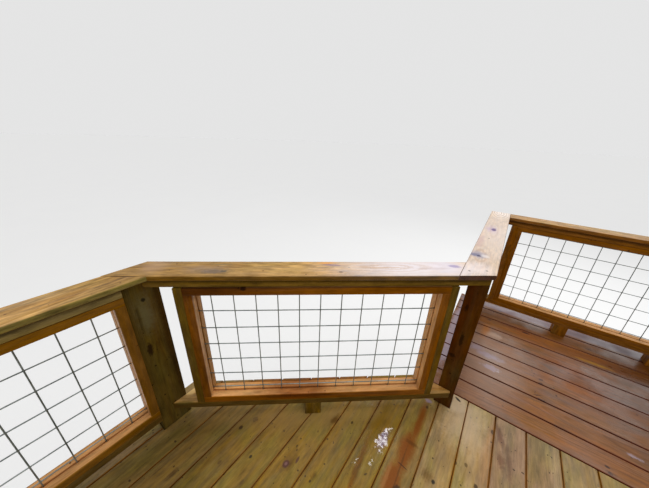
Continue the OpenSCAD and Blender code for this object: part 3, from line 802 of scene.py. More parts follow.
MAIN_DECK = WoodFinish(
    "main_deck_pine", Slot.MAIN_DECK, "a48a66", "80643a", "967224", "76664e", "38261a", "867c30", "b47614",
    ring_width=0.006, ring_depth=0.4, board_shift=0.3, board_warmth=1.0, warm_share=0.1, grey_share=0.45,
    moss_share=0.45, speck_share=0.6, streak_depth=0.34, narrow_share=0.9, narrow_from=0.95, knot_share=0.04,
    knot_size=0.01, pin_share=0.25, film=0.06, gloss=0.25, film_roughness=0.05, film_ior=1.6,
    marks=DECK_MARKS, puddles=PUDDLES,
)
OUTER_DECK = WoodFinish(
    "outer_deck_pine", Slot.OUTER_DECK, "865834", "5c3616", "96580a", "6c5a60", "3c2018", "7c5424", "6c3010",
    ring_width=0.007, ring_depth=0.7, moss_share=0.4, streak_depth=0.32, narrow_share=1.0, narrow_from=0.92,
    knot_share=0.12, knot_size=0.012, pin_share=0.2, damp=0.9, film=0.38, gloss=0.25, film_ior=1.45,
    marks=STRIP_MARKS, marked_edges=False,
)
# These caps' dark narrow colour is partly painted shade on their edges and ends.
CAP = WoodFinish(
    "cap_pine", Slot.CAP, "cda468", "a4783c", "bd8640", "a2907c", "6a4a34", "c0a258", "745004",
    ring_width=0.008, ring_depth=0.8, board_shift=0.3, streak_depth=0.55, narrow_share=0.95, narrow_from=0.96,
    edge_dirt=0.0, knot_share=0.0, pin_share=0.12, damp=0.3, film=0.3, marks=CAP_MARKS, marked_edges=False,
)
LEFT_CAP = replace(CAP, name="left_cap_pine", narrow="8c7e40")
# The side cap's paler, greyer tints are partly painted glare; its dark narrow colour is partly painted shade on its
# edges and near end.
SIDE_CAP = replace(
    CAP, name="side_cap_pine", pale="d4b690", ring="ac8858", warm="c49868", grey="b0a4a4", narrow="5c2c10",
    film=0.5, streak_depth=0.65,
)
FRONT_CAP = replace(CAP, name="front_cap_pine", pale="ac8a62", narrow="945c10", marks=())
RAIL = WoodFinish(
    "rail_pine", Slot.RAIL, "b09048", "86682a", "a0641c", "7c6f4a", "2c1808", "8c7c38", "947020",
    streak_depth=0.45, narrow_share=0.9, knot_share=0.0, pin_share=0.0, damp=0.4, film=0.05, gloss=0.1,
    marks=RAIL_MARKS,
)
# The left top rail keeps only the first rail mark, the painted shade under the cap.
LEFT_RAIL = replace(RAIL, name="left_rail_pine", narrow="aa9458", marks=RAIL_MARKS[:1])
LOW_RAIL = replace(RAIL, name="low_rail_pine", pale="c09c60", narrow="6c5014", marks=LOW_RAIL_MARKS)
FRONT_RAIL = replace(RAIL, name="front_rail_pine", narrow="ac6a10")
STUD = replace(
    RAIL, name="stud_pine", pale="745c1c", ring="54400c", warm="b46c06", board_warmth=1.0, warm_share=0.0,
    narrow_share=0.0,
)
POST = WoodFinish(
    "post_pine", Slot.RAIL, "6e5a24", "564214", "5c2800", "5f5a3e", "241204", "605824", "5c4818",
    ring_width=0.006, board_warmth=0.9, knot_share=0.0, pin_share=0.2, film=0.02, gloss=0.06, marks=POST_MARKS,
)
CORNER_POST = replace(
    POST, name="corner_post_pine", board_warmth=0.1, film=0.05, gloss=0.12, marks=CORNER_MARKS
)
CEDAR = WoodFinish(
    "panel_cedar", Slot.PANEL, "d8a66e", "ac7842", "b06420", "a08464", "3a1806", "b08c48", "a06010",
    # Narrow from at 0.88 runs the dark narrow colour onto the broad faces' edges, a painted shadow line.
    ring_width=0.0035, moss_share=0.2, narrow_share=1.0, narrow_from=0.88, knot_share=0.05, knot_size=0.011,
    pin_share=0.12, damp=0.4, film=0.03, gloss=0.06, marks=PANEL_MARKS,
)
LEFT_CEDAR = replace(CEDAR, name="left_panel_cedar", narrow="a06c1c")
FRONT_CEDAR = replace(CEDAR, name="front_panel_cedar", narrow="a86810")
FRAMING = WoodFinish(
    "frame_pine", Slot.FRAME, "8c7449", "6d5630", "7c5428", "66604c", "30200f", "7c7044", "6a5630",
    ring_width=0.006, damp=0.3, knot_share=0.15, film=0.1, gloss=0.3,
)
WIRE = SpeckledFinish("galvanised_wire", "9aa4a2", "6a7472", 0.5, 0.45)
SCREW = SpeckledFinish("coated_screw", "5a4a38", "32281e", 0.7, 0.5)
# Dark litter in the deck's gaps: partly leaf litter, partly painted shade that hides the pale floor below.
LITTER_AND_SHADE = SpeckledFinish("litter_and_gap_shade", "885a10", "503208", 0.0, 0.85)


def enter(name: str, data: bpy.types.ID) -> bpy.types.Object:
    """Puts a new object into the scene.

    Args:
        name: its name.
        data: its mesh, light or camera.

    Returns:
        The object.
    """
    made = bpy.data.objects.new(name, data)
    bpy.context.scene.collection.objects.link(made)
    return made


def circle(sides: int) -> list[tuple[float, float]]:
    """Gives the corners of a round of radius one."""
    turns = [2 * math.pi * k / sides for k in range(sides)]
    return [(math.cos(turn), math.sin(turn)) for turn in turns]


@dataclass
class Shell:
    """Corners and faces gathered into one piece.

    Args:
        name: the piece's name.
    """

    name: str
    points: list[Point] = gathered()
    faces: list[list[int]] = gathered()

    def join(self, first: int, rings: int, sides: int, closed: bool = True) -> None:
        """Adds the faces between rings of corners.

        Args:
            first: the number of the first ring's first corner.
            rings: how many rings there are.
            sides: how many corners each has.
            closed: whether the first and the last ring are faces too.
        """
        for low in range(first, first + (rings - 1) * sides, sides):
            for k in range(sides):
                n = (k + 1) % sides
                self.faces.append([low + k, low + n, low + sides + n, low + sides + k])
        if closed:
            last = first + (rings - 1) * sides
            self.faces.append([first + k for k in reversed(range(sides))])
            self.faces.append([last + k for k in range(sides)])

    def mesh(self, material: bpy.types.Material) -> bpy.types.Mesh:
        """Makes the mesh.

        Args:
            material: what it is made of.

        Returns:
            The mesh.
        """
        made = bpy.data.meshes.new(self.name)
        made.from_pydata(self.points, [], self.faces)
        made.materials.append(material)
        return made

    def settle(self, mesh: bpy.types.Mesh, slot: Slot, *nodes: str) -> None:
        """Puts the finished mesh into the scene, on the object's one body.

        Args:
            mesh: the mesh, in the CAD frame.
            slot: the finish's material slot; not used.
            nodes: the CAD nodes that it replaces, if any.
        """
        piece = enter(self.name, mesh)
        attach(piece, "root")
        if nodes:
            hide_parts(*nodes)
        REPORT.info("%s: %d faces", self.name, len(mesh.polygons))


def forward(axis: Vector) -> Vector:
    """Turns a direction round if its largest part lies below zero."""
    return -axis if max(axis, key=abs) < 0 else axis


@dataclass
class Pile(Shell):
    """Sawn timbers gathered into one piece, with the coordinates that the wood follows.

    Args:
        finish: the wood's finish.
        edge: how far its edges are eased, in metres.
        heart: where the pith lies.
        slope: how far the pith may run out of line, as a slope.
    """

    finish: WoodFinish
    edge: float = 0.002
    heart: Heart = Heart.OUTSIDE
    slope: float = 0.02
    grain: list[float] = gathered()
    place: list[float] = gathered()
    tone: list[float] = gathered()
    kinds: list[float] = gathered()
    count: int = field(default=0, init=False)

    def add(
        self,
        solid: bmesh.types.BMesh,
        along: Vector | None = None,
        shift: Vector | None = None,
        tone: Tone | None = None,
    ) -> None:
        """Eases a solid's edges, works out its grain and takes it in. The solid is used up.

        Args:
            solid: the timber as a closed mesh.
            along: the direction of its grain, or None for that of its longest edge.
            shift: a small move, for the unevenness of laid boards.
            tone: its lightness and its warmth, each from 0 to 1, or None for chance.
        """
        chance = random.Random(f"{self.name} {self.count}")
        self.count += 1
        if along is None:
            longest = max(solid.edges, key=lambda e: e.calc_length())
            along = forward((longest.verts[1].co - longest.verts[0].co).normalized())
        flat = [f for f in solid.faces if abs(f.normal.dot(along)) < 0.02]
        wide = forward(max(flat, key=lambda f: round(f.calc_area(), 5)).normal.copy())
        side = wide.cross(along).normalized()
        inner = [e for e in solid.edges if len(e.link_faces) == 2]
        sharp = [e for e in inner if e.is_convex and e.calc_face_angle(0.0) > SHARP]
        eased = bmesh.ops.bevel(
            solid, geom=sharp, offset=self.edge, offset_type="OFFSET", segments=2, profile=0.5,
            affect="EDGES", clamp_overlap=True,
        )
        bevelled = set(eased["faces"])
        spans = []
        for axis in (along, side, wide):
            values = [v.co.dot(axis) for v in solid.verts]
            spans.append((min(values), max(values)))
        middle = [(a + b) / 2 for a, b in spans]
        halves = [max((b - a) / 2, 1e-4) for a, b in spans]
        if self.heart is Heart.INSIDE:
            pith = (chance.uniform(-0.025, 0.025), chance.uniform(-0.02, 0.02))
            flip = 1.0
        else:
            pith = (chance.uniform(-0.055, 0.055), halves[2] + chance.uniform(0.02, 0.09))
            flip = chance.choice((-1.0, 1.0))
        slip = chance.uniform(-0.012, 0.012)
        lean = (slip, chance.choice((-1.0, 1.0)) * chance.uniform(0.4, 1.0) * self.slope)
        start = chance.uniform(0.0, 40.0)
        own = (chance.random(), chance.random(), chance.random())
        if tone is not None:
            own = (*tone, own[2])
        first = len(self.points)
        solid.verts.index_update()
        for vert in solid.verts:
            u, s, t = (vert.co.dot(axis) for axis in (along, side, wide))
            run = u - middle[0]
            self.grain += (
                u - spans[0][0] + start,
                s - middle[1] - pith[0] + lean[0] * run,
                flip * (t - middle[2]) + pith[1] + lean[1] * run,
            )
            end = min(u - spans[0][0], spans[0][1] - u)
            self.place += (end, (s - middle[1]) / halves[1], (t - middle[2]) / halves[2])
            self.tone += own
            self.points.append(tuple(vert.co + shift if shift is not None else vert.co))
        for face in solid.faces:
            self.faces.append([first + v.index for v in face.verts])
            self.kinds += (float(abs(face.normal.dot(along)) > 0.7), float(face in bevelled), 0.0)
        solid.free()

    def build(self, *nodes: str) -> None:
        """Makes the piece and puts it in place of its CAD nodes.

        Args:
            nodes: the CAD nodes that it replaces.
        """
        mesh = self.mesh(self.finish.material())
        for name, domain, values in (
            ("grain", "POINT", self.grain),
            ("place", "POINT", self.place),
            ("tone", "POINT", self.tone),
            ("faces", "FACE", self.kinds),
        ):
            mesh.attributes.new(name, "FLOAT_VECTOR", domain).data.foreach_set("vector", values)
        self.settle(mesh, self.finish.slot, *nodes)


def middle_of(solid: bmesh.types.BMesh) -> Vector:
    """Finds the middle of a solid's box.

    Args:
        solid: the solid.

    Returns:
        The middle.
    """
    points = [v.co for v in solid.verts]
    low = Vector([min(p[i] for p in points) for i in range(3)])
    high = Vector([max(p[i] for p in points) for i in range(3)])
    return (low + high) / 2


def solids_of(node: str) -> list[tuple[Vector, bmesh.types.BMesh]]:
    """Parts a CAD node into its separate solids, each with one face for each flat side.

    Args:
        node: the node's name.

    Returns:
        The middle of each solid and its own mesh, which the caller frees, in the order of the middles.
    """
    whole = bmesh.new()
    whole.from_mesh(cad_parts[node].data)
    bmesh.ops.remove_doubles(whole, verts=whole.verts, dist=SAME_SPOT)
    bmesh.ops.dissolve_limit(whole, angle_limit=SAME_SIDE, verts=whole.verts, edges=whole.edges)
    found: list[tuple[Vector, bmesh.types.BMesh]] = []
    seen: set[bmesh.types.BMFace] = set()
    for seed in list(whole.faces):
        if seed in seen:
            continue
        seen.add(seed)
        group, queue = [], [seed]
        while queue:
            face = queue.pop()
            group.append(face)
            for edge in face.edges:
                if len(edge.link_faces) == 2:
                    for other in edge.link_faces:
                        if other not in seen:
                            seen.add(other)
                            queue.append(other)
        part = bmesh.new()
        known: dict[bmesh.types.BMVert, bmesh.types.BMVert] = {}
        for face in group:
            for vert in face.verts:
                if vert not in known:
                    known[vert] = part.verts.new(vert.co)
            part.faces.new([known[v] for v in face.verts])
        part.normal_update()
        found.append((middle_of(part), part))
    whole.free()
    return sorted(found, key=lambda pair: tuple(round(c, 3) for c in pair[0]))


def extruded(
    profile: list[tuple[float, float]], span: tuple[float, float], place: Callable[[float, float, float], Vector]
) -> bmesh.types.BMesh:
    """Runs a section along a straight line.

    Args:
        profile: the section's corners.
        span: where the run starts and ends.
        place: turns a distance along and a corner into a point.

    Returns:
        The closed solid.
    """
    solid = bmesh.new()
    rings = [[solid.verts.new(place(at, a, b)) for a, b in profile] for at in span]
    solid.faces.new(rings[0][::-1])
    solid.faces.new(rings[1])
    for i in range(len(profile)):
        j = (i + 1) % len(profile)
        solid.faces.new((rings[0][i], rings[0][j], rings[1][j], rings[1][i]))
    bmesh.ops.recalc_face_normals(solid, faces=solid.faces)
    solid.normal_update()
    return solid


@dataclass(frozen=True)
class Plan:
    """The deck's named sizes, in metres, as in the part's source."""

    board_w: float = 0.14
    board_gap: float = 0.005
    main_boards: int = 35
    main_len: float = 2.6
    strip_boards: int = 9
    deck_z: float = 2.4
    stock_t: float = 0.038
    stock_w: float = 0.089
    panel_h: float = 0.724
    wire_pitch: float = 0.1016
    wire_d: float = 0.005
    wire_low: float = 0.025
    groove_w: float = 0.01
    groove_d: float = 0.012
    x_left: float = -2.535
    y_back: float = -1.9525
    y_front: float = 1.9525

    @property
    def pitch(self) -> float:
        """Distance from one board to the next."""
        return self.board_w + self.board_gap

    @property
    def panel_z(self) -> float:
        """Height of a frame's lower edge."""
        return self.deck_z + self.stock_w + self.stock_t


PLAN = Plan()


@dataclass(frozen=True)
class Bay:
    """One bay of rail.

    Args:
        at: its start on the cap's outer line, in plan.
        turn: its direction, in degrees from X.
        length: its length between its ends.
        inner: how far the frame's inner face is in from the cap's outer line.
        stud: the thickness of the stud at each end of it, or 0 for none.
    """

    at: tuple[float, float]
    turn: float
    length: float
    inner: float = 0.127
    stud: float = PLAN.stock_t

    def spot(self, x: float, y: float, z: float) -> Vector:
        """Places a point of the bay.

        Args:
            x: distance along it from its start.
            y: distance out from the frame's inner face.
            z: height above the frame's lower edge.

        Returns:
            The point in the CAD frame.
        """
        turn, out = math.radians(self.turn), y - self.inner
        across = self.at[0] + x * math.cos(turn) - out * math.sin(turn)
        ahead = self.at[1] + x * math.sin(turn) + out * math.cos(turn)
        return Vector((across, ahead, PLAN.panel_z + z))

    def way(self, x: float, y: float) -> Vector:
        """Gives one of its own directions in the CAD frame."""
        return (self.spot(x, y, 0) - self.spot(0.0, 0.0, 0)).normalized()


MAIN_NODES = ("main_boards_left", "trunk_boards_front", "trunk_boards_rear", "main_boards_right")
STRIP_NODES = ("strip_boards_outer",)
LEFT_BAYS = (Bay((-2.485, -1.7755), 90.0, 1.22935, stud=0.0),)
DIAGONAL_BAYS = (Bay((-2.3678, -0.29186), 40.0, 1.29832, 0.137),)
SIDE_BAYS = (Bay((-1.302, 0.6655), 90.0, 1.064),)
FRONT_BAYS = (Bay((-1.129, 1.9025), 0.0, 1.63), Bay((0.682, 1.9025), 0.0, 1.63))
RIGHT_BAYS = (Bay((2.485, 1.7295), -90.0, 1.639), Bay((2.485, -0.0905), -90.0, 1.639))
# The lightness of these boards is partly painted light and shade: darker at the left, lighter to the right by the inner
# post.
MAIN_TONES_AND_SHADING = {
    0: (0.28, 0.3), 1: (0.28, 0.5), 2: (0.15, 0.65), 3: (0.15, 0.85), 4: (0.28, 0.9), 5: (0.36, 0.9),
    6: (0.33, 0.9), 7: (0.28, 1.0), 8: (0.5, 0.7), 9: (0.86, 0.35), 10: (0.98, 0.3), 11: (0.6, 0.0),
    12: (0.5, 0.1),
}
STRIP_TONES = {
    0: (0.4, 0.5), 1: (0.45, 1.0), 2: (0.45, 0.9), 3: (0.5, 0.4), 4: (0.45, 0.2), 5: (0.6, 0.4),
    6: (0.55, 0.4), 7: (0.7, 0.3), 8: (0.8, 0.2),
}


@dataclass
class Decking:
    """Deck boards, laid a little unevenly, with each visible board's own tone. On the main deck that tone's lightness
    is partly painted light and shade.

    Args:
        name: the piece's name.
        nodes: the CAD nodes whose boards it takes.
        finish: the boards' finish.
        tones: lightness and warmth by the board's number.
        number: gives a board's number from its middle.
        sag: how far a board may lie low.
    """

    name: str
    nodes: tuple[str, ...]
    finish: WoodFinish
    tones: dict[int, Tone]
    number: Callable[[Vector], int]
    sag: float = 0.0012

    def build(self) -> None:
        """Builds every board into one piece."""
        pile = Pile(self.name, self.finish, edge=0.0035, slope=0.05)
        for node in self.nodes:
            for middle, solid in solids_of(node):
                chance = random.Random(f"lay {self.name} {pile.count}")
                shift = Vector((0.0, 0.0, -chance.uniform(0.0, self.sag)))
                other = (chance.uniform(0.3, 0.7), chance.uniform(0.1, 0.7))
                pile.add(solid, shift=shift, tone=self.tones.get(self.number(middle), other))
        pile.build(*self.nodes)


def even(light: float, warm: float) -> Callable[[Vector], Tone]:
    """Gives every timber the same lightness and warmth."""
    return lambda _: (light, warm)


@dataclass
class Timbers:
    """Timbers that keep the shape of their CAD nodes.

    Args:
        nodes: the CAD nodes, each of which becomes a piece.
        finish: their finish.
        edge: how far their edges are eased.
        heart: where the pith lies.
        upright: True if the grain runs up.
        tone: gives a timber's lightness and warmth from its middle, or None for chance.
        slope: how far the pith may run out of line, as a slope.
    """

    nodes: tuple[str, ...]
    finish: WoodFinish
    edge: float = 0.003
    heart: Heart = Heart.OUTSIDE
    upright: bool = False
    tone: Callable[[Vector], Tone | None] = lambda _: None
    slope: float = 0.02

    def build(self) -> None:
        """Builds a piece for each node."""
        for node in self.nodes:
            pile = Pile(f"sawn_{node}", self.finish, self.edge, self.heart, self.slope)
            for middle, solid in solids_of(node):
                pile.add(solid, along=UP if self.upright else None, tone=self.tone(middle))
            pile.build(node)


@dataclass
class Rods(Shell):
    """Round wires gathered into one smooth piece."""

    sides: int = 8

    def add(self, path: list[Vector], radii: list[float], up: Vector) -> None:
        """Adds one wire.

        Args:
            path: the points that it runs through.
            radii: its radius at each.
            up: a direction square to it.
        """
        first = len(self.points)
        for i, point in enumerate(path):
            along = (path[min(i + 1, len(path) - 1)] - path[max(i - 1, 0)]).normalized()
            side = along.cross(up).normalized()
            top = side.cross(along)
            self.points += [tuple(point + (side * c + top * s) * radii[i]) for c, s in circle(self.sides)]
        self.join(first, len(path), self.sides)

    def build(self, node: str) -> None:
        """Makes the piece, which helps to replace a CAD node.

        Args:
            node: the CAD node.
        """
        mesh = self.mesh(WIRE.material())
        mesh.polygons.foreach_set("use_smooth", [len(p.vertices) == 4 for p in mesh.polygons])
        self.settle(mesh, Slot.PANEL, node)


@dataclass
class WirePanel:
    """Grooved frames that hold welded wire.

    Args:
        node: the CAD node that they replace.
        bays: the bays that they fill.
        finish: the finish of the frames.
        light: the lightness of the frames' first stile, and of their other members.
        plan: the deck's sizes.
        edge: how far the frames' edges are eased.
        spare: how far a wire stops short of the groove's floor.
        lap: how far each layer of wire lies off the panel's middle, as a share of its thickness.
        bow: how far a wire may bend out of line.
        weld: half the length of a weld.
        swell: how much thicker a wire is there.
    """

    node: str
    bays: tuple[Bay, ...]
    finish: WoodFinish = CEDAR
    light: tuple[float, float] = (0.5, 0.5)
    plan: Plan = PLAN
    edge: float = 0.0022
    spare: float = 0.002
    lap: float = 0.32
    bow: float = 0.0018
    weld: float = 0.006
    swell: float = 1.12

    def build(self) -> None:
        """Builds the timbers and the wires of every bay."""
        pile = Pile(f"{self.node}_frame", self.finish, edge=self.edge)
        rods = Rods(f"{self.node}_wire")
        for bay in self.bays:
            self._frame(pile, bay)
            self._wires(rods, bay)
        pile.build(self.node)
        rods.build(self.node)

    def _section(self) -> list[tuple[float, float]]:
        """Gives a member's section: across the wall, and from its outer side in to its grooved side.

        Returns:
            The section's corners.
        """
        p = self.plan
        low = (p.stock_w - p.groove_w) / 2
        high = low + p.groove_w
        floor = p.stock_t - p.groove_d
        rim = [(0, 0), (p.stock_w, 0), (p.stock_w, p.stock_t)]
        return rim + [(high, p.stock_t), (high, floor), (low, floor), (low, p.stock_t), (0, p.stock_t)]

    def _frame(self, pile: Pile, bay: Bay) -> None:
        """Adds the four members of a bay's frame, the upper and lower ones over the ends of the others.

        Args:
            pile: takes the timbers.
            bay: the bay.
        """
        p = self.plan
        start, end, top = bay.stud, bay.length - bay.stud, p.panel_h
        first, others = ((light, 0.4) for light in self.light)
        wide, tall = (start, end), (p.stock_t, top - p.stock_t)
        along = bay.way(1.0, 0.0)
        for span, place, grain, tone in (
            (wide, lambda at, a, b: bay.spot(at, a, b), along, others),
            (wide, lambda at, a, b: bay.spot(at, a, top - b), along, others),
            (tall, lambda at, a, b: bay.spot(start + b, a, at), UP, first),
            (tall, lambda at, a, b: bay.spot(end - b, a, at), UP, others),
        ):
            pile.add(extruded(self._section(), span, place), grain, tone=tone)

    def _wires(self, rods: Rods, bay: Bay) -> None:
        """Adds a bay's welded wires.

        Args:
            rods: takes the wires.
            bay: the bay.
        """
        p = self.plan
        chance = random.Random(f"{self.node} {bay.at}")
        width = bay.length - 2 * bay.stud
        open_w, open_h = width - 2 * p.stock_t, p.panel_h - 2 * p.stock_t
        bite = p.groove_d - self.spare
        uprights = math.floor(open_w / p.wire_pitch)
        levels = math.floor((open_h - p.wire_low) / p.wire_pitch) + 1
        lap, middle = p.wire_d * self.lap, p.stock_w / 2
        xs = [bay.stud + width / 2 + (i - (uprights - 1) / 2) * p.wire_pitch for i in range(uprights)]
        zs = [p.stock_t + p.wire_low + i * p.wire_pitch for i in range(levels)]
        for x in xs:
            stops = [p.stock_t - bite, *zs, p.panel_h - p.stock_t + bite]
            self._rod(rods, chance, bay, [(x, middle - lap, z) for z in stops], bay.way(1.0, 0.0))
        for z in zs:
            stops = [bay.stud + p.stock_t - bite, *xs, bay.stud + width - p.stock_t + bite]
            self._rod(rods, chance, bay, [(x, middle + lap, z) for x in stops], UP)

    def _rod(self, rods: Rods, chance: random.Random, bay: Bay, stops: list[Point], up: Vector) -> None:
        """Adds one wire through its welds, a little out of true.

        Args:
            rods: takes the wire.
            chance: gives its unevenness.
            bay: the bay.
            stops: its ends and its welds, in the bay's own distances.
            up: a direction square to it.
        """
        radius, swell = self.plan.wire_d / 2, self.swell
        path: list[Vector] = []
        radii: list[float] = []
        points = [bay.spot(*stop) for stop in stops]
        bow = chance.uniform(-self.bow, self.bow)
        out = bay.way(0.0, 1.0)
        for i, point in enumerate(points):
            lean = out * bow * math.sin(math.pi * i / (len(points) - 1))
            if 0 < i < len(points) - 1:
                step = (points[i + 1] - points[i - 1]).normalized() * self.weld
                path += [point + lean + step * move for move in (-1.0, -0.4, 0.4, 1.0)]
                radii += [radius, radius * swell, radius * swell, radius]
            else:
                path.append(point + lean)
                radii.append(radius)
        rods.add(path, radii, up)


@cache
def trees_of(nodes: tuple[str, ...]) -> list[BVHTree]:
    """Turns CAD nodes into trees that rays can test.

    Args:
        nodes: the CAD nodes.

    Returns:
        The faces of each node as a tree.
    """
    meshes = [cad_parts[node].data for node in nodes]
    shapes = [([v.co for v in mesh.vertices], [tuple(p.vertices) for p in mesh.polygons]) for mesh in meshes]
    return [BVHTree.FromPolygons(*shape) for shape in shapes]


def held(nodes: tuple[str, ...], x: float, y: float, top: float, margin: float) -> bool:
    """Tells whether a top face lies under a spot and round it.

    Args:
        nodes: the CAD nodes of the boards.
        x: the spot's X.
        y: the spot's Y.
        top: the face's height.
        margin: how far round it is tested.

    Returns:
        True if one node's boards meet every test.
    """
    ring = ((0, 0), (margin, 0), (-margin, 0), (0, margin), (0, -margin))
    starts = [Vector((x + dx, y + dy, top + RAY_START)) for dx, dy in ring]
    for tree in trees_of(nodes):
        if all(tree.ray_cast(start, DOWN, RAY_LENGTH)[0] is not None for start in starts):
            return True
    return False


@dataclass
class Screws(Shell):
    """Countersunk screw heads where the boards are screwed to the joists below them.

    Args:
        plan: the deck's sizes.
        radius: a head's radius.
        sides: how many corners its round has.
        inset: how far the screws stand in from a board's long edges.
        sunk: how far they lie below the walking surface.
        rings: the size and the height of each ring of a head, from the outside in.
        dish: how deep its middle lies.
        margin: how far round a screw there has to be board.
        rear: the joists under the main deck, by their Y.
        front: the joists under the outer strip, by their X.
    """

    plan: Plan = PLAN
    radius: float = 0.0042
    sides: int = 8
    inset: float = 0.026
    sunk: float = 0.0016
    rings: tuple[tuple[float, float], ...] = ((1.0, -0.0006), (0.92, 0.0003), (0.5, 0.0004))
    dish: float = 0.0012
    margin: float = 0.012
    rear: tuple[float, ...] = (0.634, *(0.6575 - 0.427 * i for i in range(1, 6)), -1.9025)
    front: tuple[float, ...] = (-1.302, *(-1.156 + 0.43125 * i for i in range(9)), 2.3615)

    def build(self) -> None:
        """Builds every head as a dished disc."""
        for spot in self._spots():
            first = len(self.points)
            for size, rise in self.rings:
                for c, s in circle(self.sides):
                    x, y = spot.x + c * self.radius * size, spot.y + s * self.radius * size
                    self.points.append((x, y, spot.z + rise))
            centre = len(self.points)
            self.points.append((spot.x, spot.y, spot.z - self.dish))
            self.join(first, len(self.rings), self.sides, closed=False)
            inner = centre - self.sides
            self.faces += [[inner + k, inner + (k + 1) % self.sides, centre] for k in range(self.sides)]
        self.settle(self.mesh(SCREW.material()), Slot.MAIN_DECK)

    def _spots(self) -> list[Vector]:
        """Finds where the heads stand.

        Returns:
            Their middles.
        """
        p = self.plan
        sides = (self.inset, p.board_w - self.inset)
        xs = [p.x_left + i * p.pitch + side for i in range(p.main_boards) for side in sides]
        ys = [p.y_front - i * p.pitch - side for i in range(p.strip_boards) for side in sides]
        tries = [(MAIN_NODES, x, y) for x in xs for y in self.rear]
        tries += [(STRIP_NODES, x, y) for y in ys for x in self.front]
        height = p.deck_z - self.sunk
        return [Vector((x, y, height)) for nodes, x, y in tries if held(nodes, x, y, p.deck_z, self.margin)]


@dataclass
class GapLitterAndShade(Shell):
    """Dark leaf litter in the gaps between deck boards. It is partly a real detail and partly painted shade that keeps
    the pale floor from showing through the gaps.

    Args:
        plan: the deck's sizes.
        step: distance from one section of it to the next.
        depth: how far its top lies below the walking surface.
        uneven: how far it rises and falls.
        thickness: how thick it is.
        reach: how far from a gap's middle line a board has to lie.
        margin: how far round that spot it has to reach.
    """

    plan: Plan = PLAN
    step: float = 0.04
    depth: float = 0.0095
    uneven: float = 0.0025
    thickness: float = 0.005
    reach: float = 0.012
    margin: float = 0.004

    def build(self) -> None:
        """Fills the gaps of the main deck, of the outer strip and of the seam between them."""
        p = self.plan
        half = p.board_gap / 2
        seam = p.y_back + p.main_len + half
        for i in range(1, p.main_boards):
            x = p.x_left + i * p.pitch - half
            self._gap(MAIN_NODES, MAIN_NODES, (x, p.y_back), (x, p.y_back + p.main_len))
        for i in range(1, p.strip_boards):
            y = p.y_front - i * p.pitch + half
            self._gap(STRIP_NODES, STRIP_NODES, (p.x_left, y), (-p.x_left, y))
        self._gap(STRIP_NODES, MAIN_NODES, (p.x_left, seam), (-p.x_left, seam))
        self.settle(self.mesh(LITTER_AND_SHADE.material()), Slot.MAIN_DECK)

    def _gap(
        self, left: tuple[str, ...], right: tuple[str, ...], start: tuple[float, float], end: tuple[float, float]
    ) -> None:
        """Fills one gap wherever it has a board on both sides.

        Args:
            left: the CAD nodes of the boards on its left.
            right: those of the boards on its right.
            start: where it starts, in plan.
            end: where it ends.
        """
        first, last = Vector((*start, 0.0)), Vector((*end, 0.0))
        along = (last - first).normalized()
        aside = Vector((-along.y, along.x, 0.0))
        count = int((last - first).length / self.step)
        run: list[Vector] = []
        for i in range(count + 2):
            spot = first + (last - first) * min(i / count, 1.0)
            off = aside * self.reach
            if i <= count and self._held(left, spot + off) and self._held(right, spot - off):
                run.append(spot)
            elif run:
                self._strip(run, aside)
                run = []

    def _held(self, nodes: tuple[str, ...], spot: Vector) -> bool:
        """Tells whether a board lies at a spot."""
        return held(nodes, spot.x, spot.y, self.plan.deck_z, self.margin)

    def _strip(self, run: list[Vector], aside: Vector) -> None:
        """Adds one strip through the spots of a run.

        Args:
            run: its middle line in plan.
            aside: the direction across it.
        """
        if len(run) < 2:
            return
        chance = random.Random(f"{run[0]} {len(run)}")
        half = self.plan.board_gap / 2
        first = len(self.points)
        for spot in run:
            top = self.plan.deck_z - self.depth + chance.uniform(-self.uneven, self.uneven)
            low = top - self.thickness
            for side, height in ((-half, top), (half, top), (half, low), (-half, low)):
                self.points.append((spot.x + aside.x * side, spot.y + aside.y * side, height))
        self.join(first, len(run), 4)


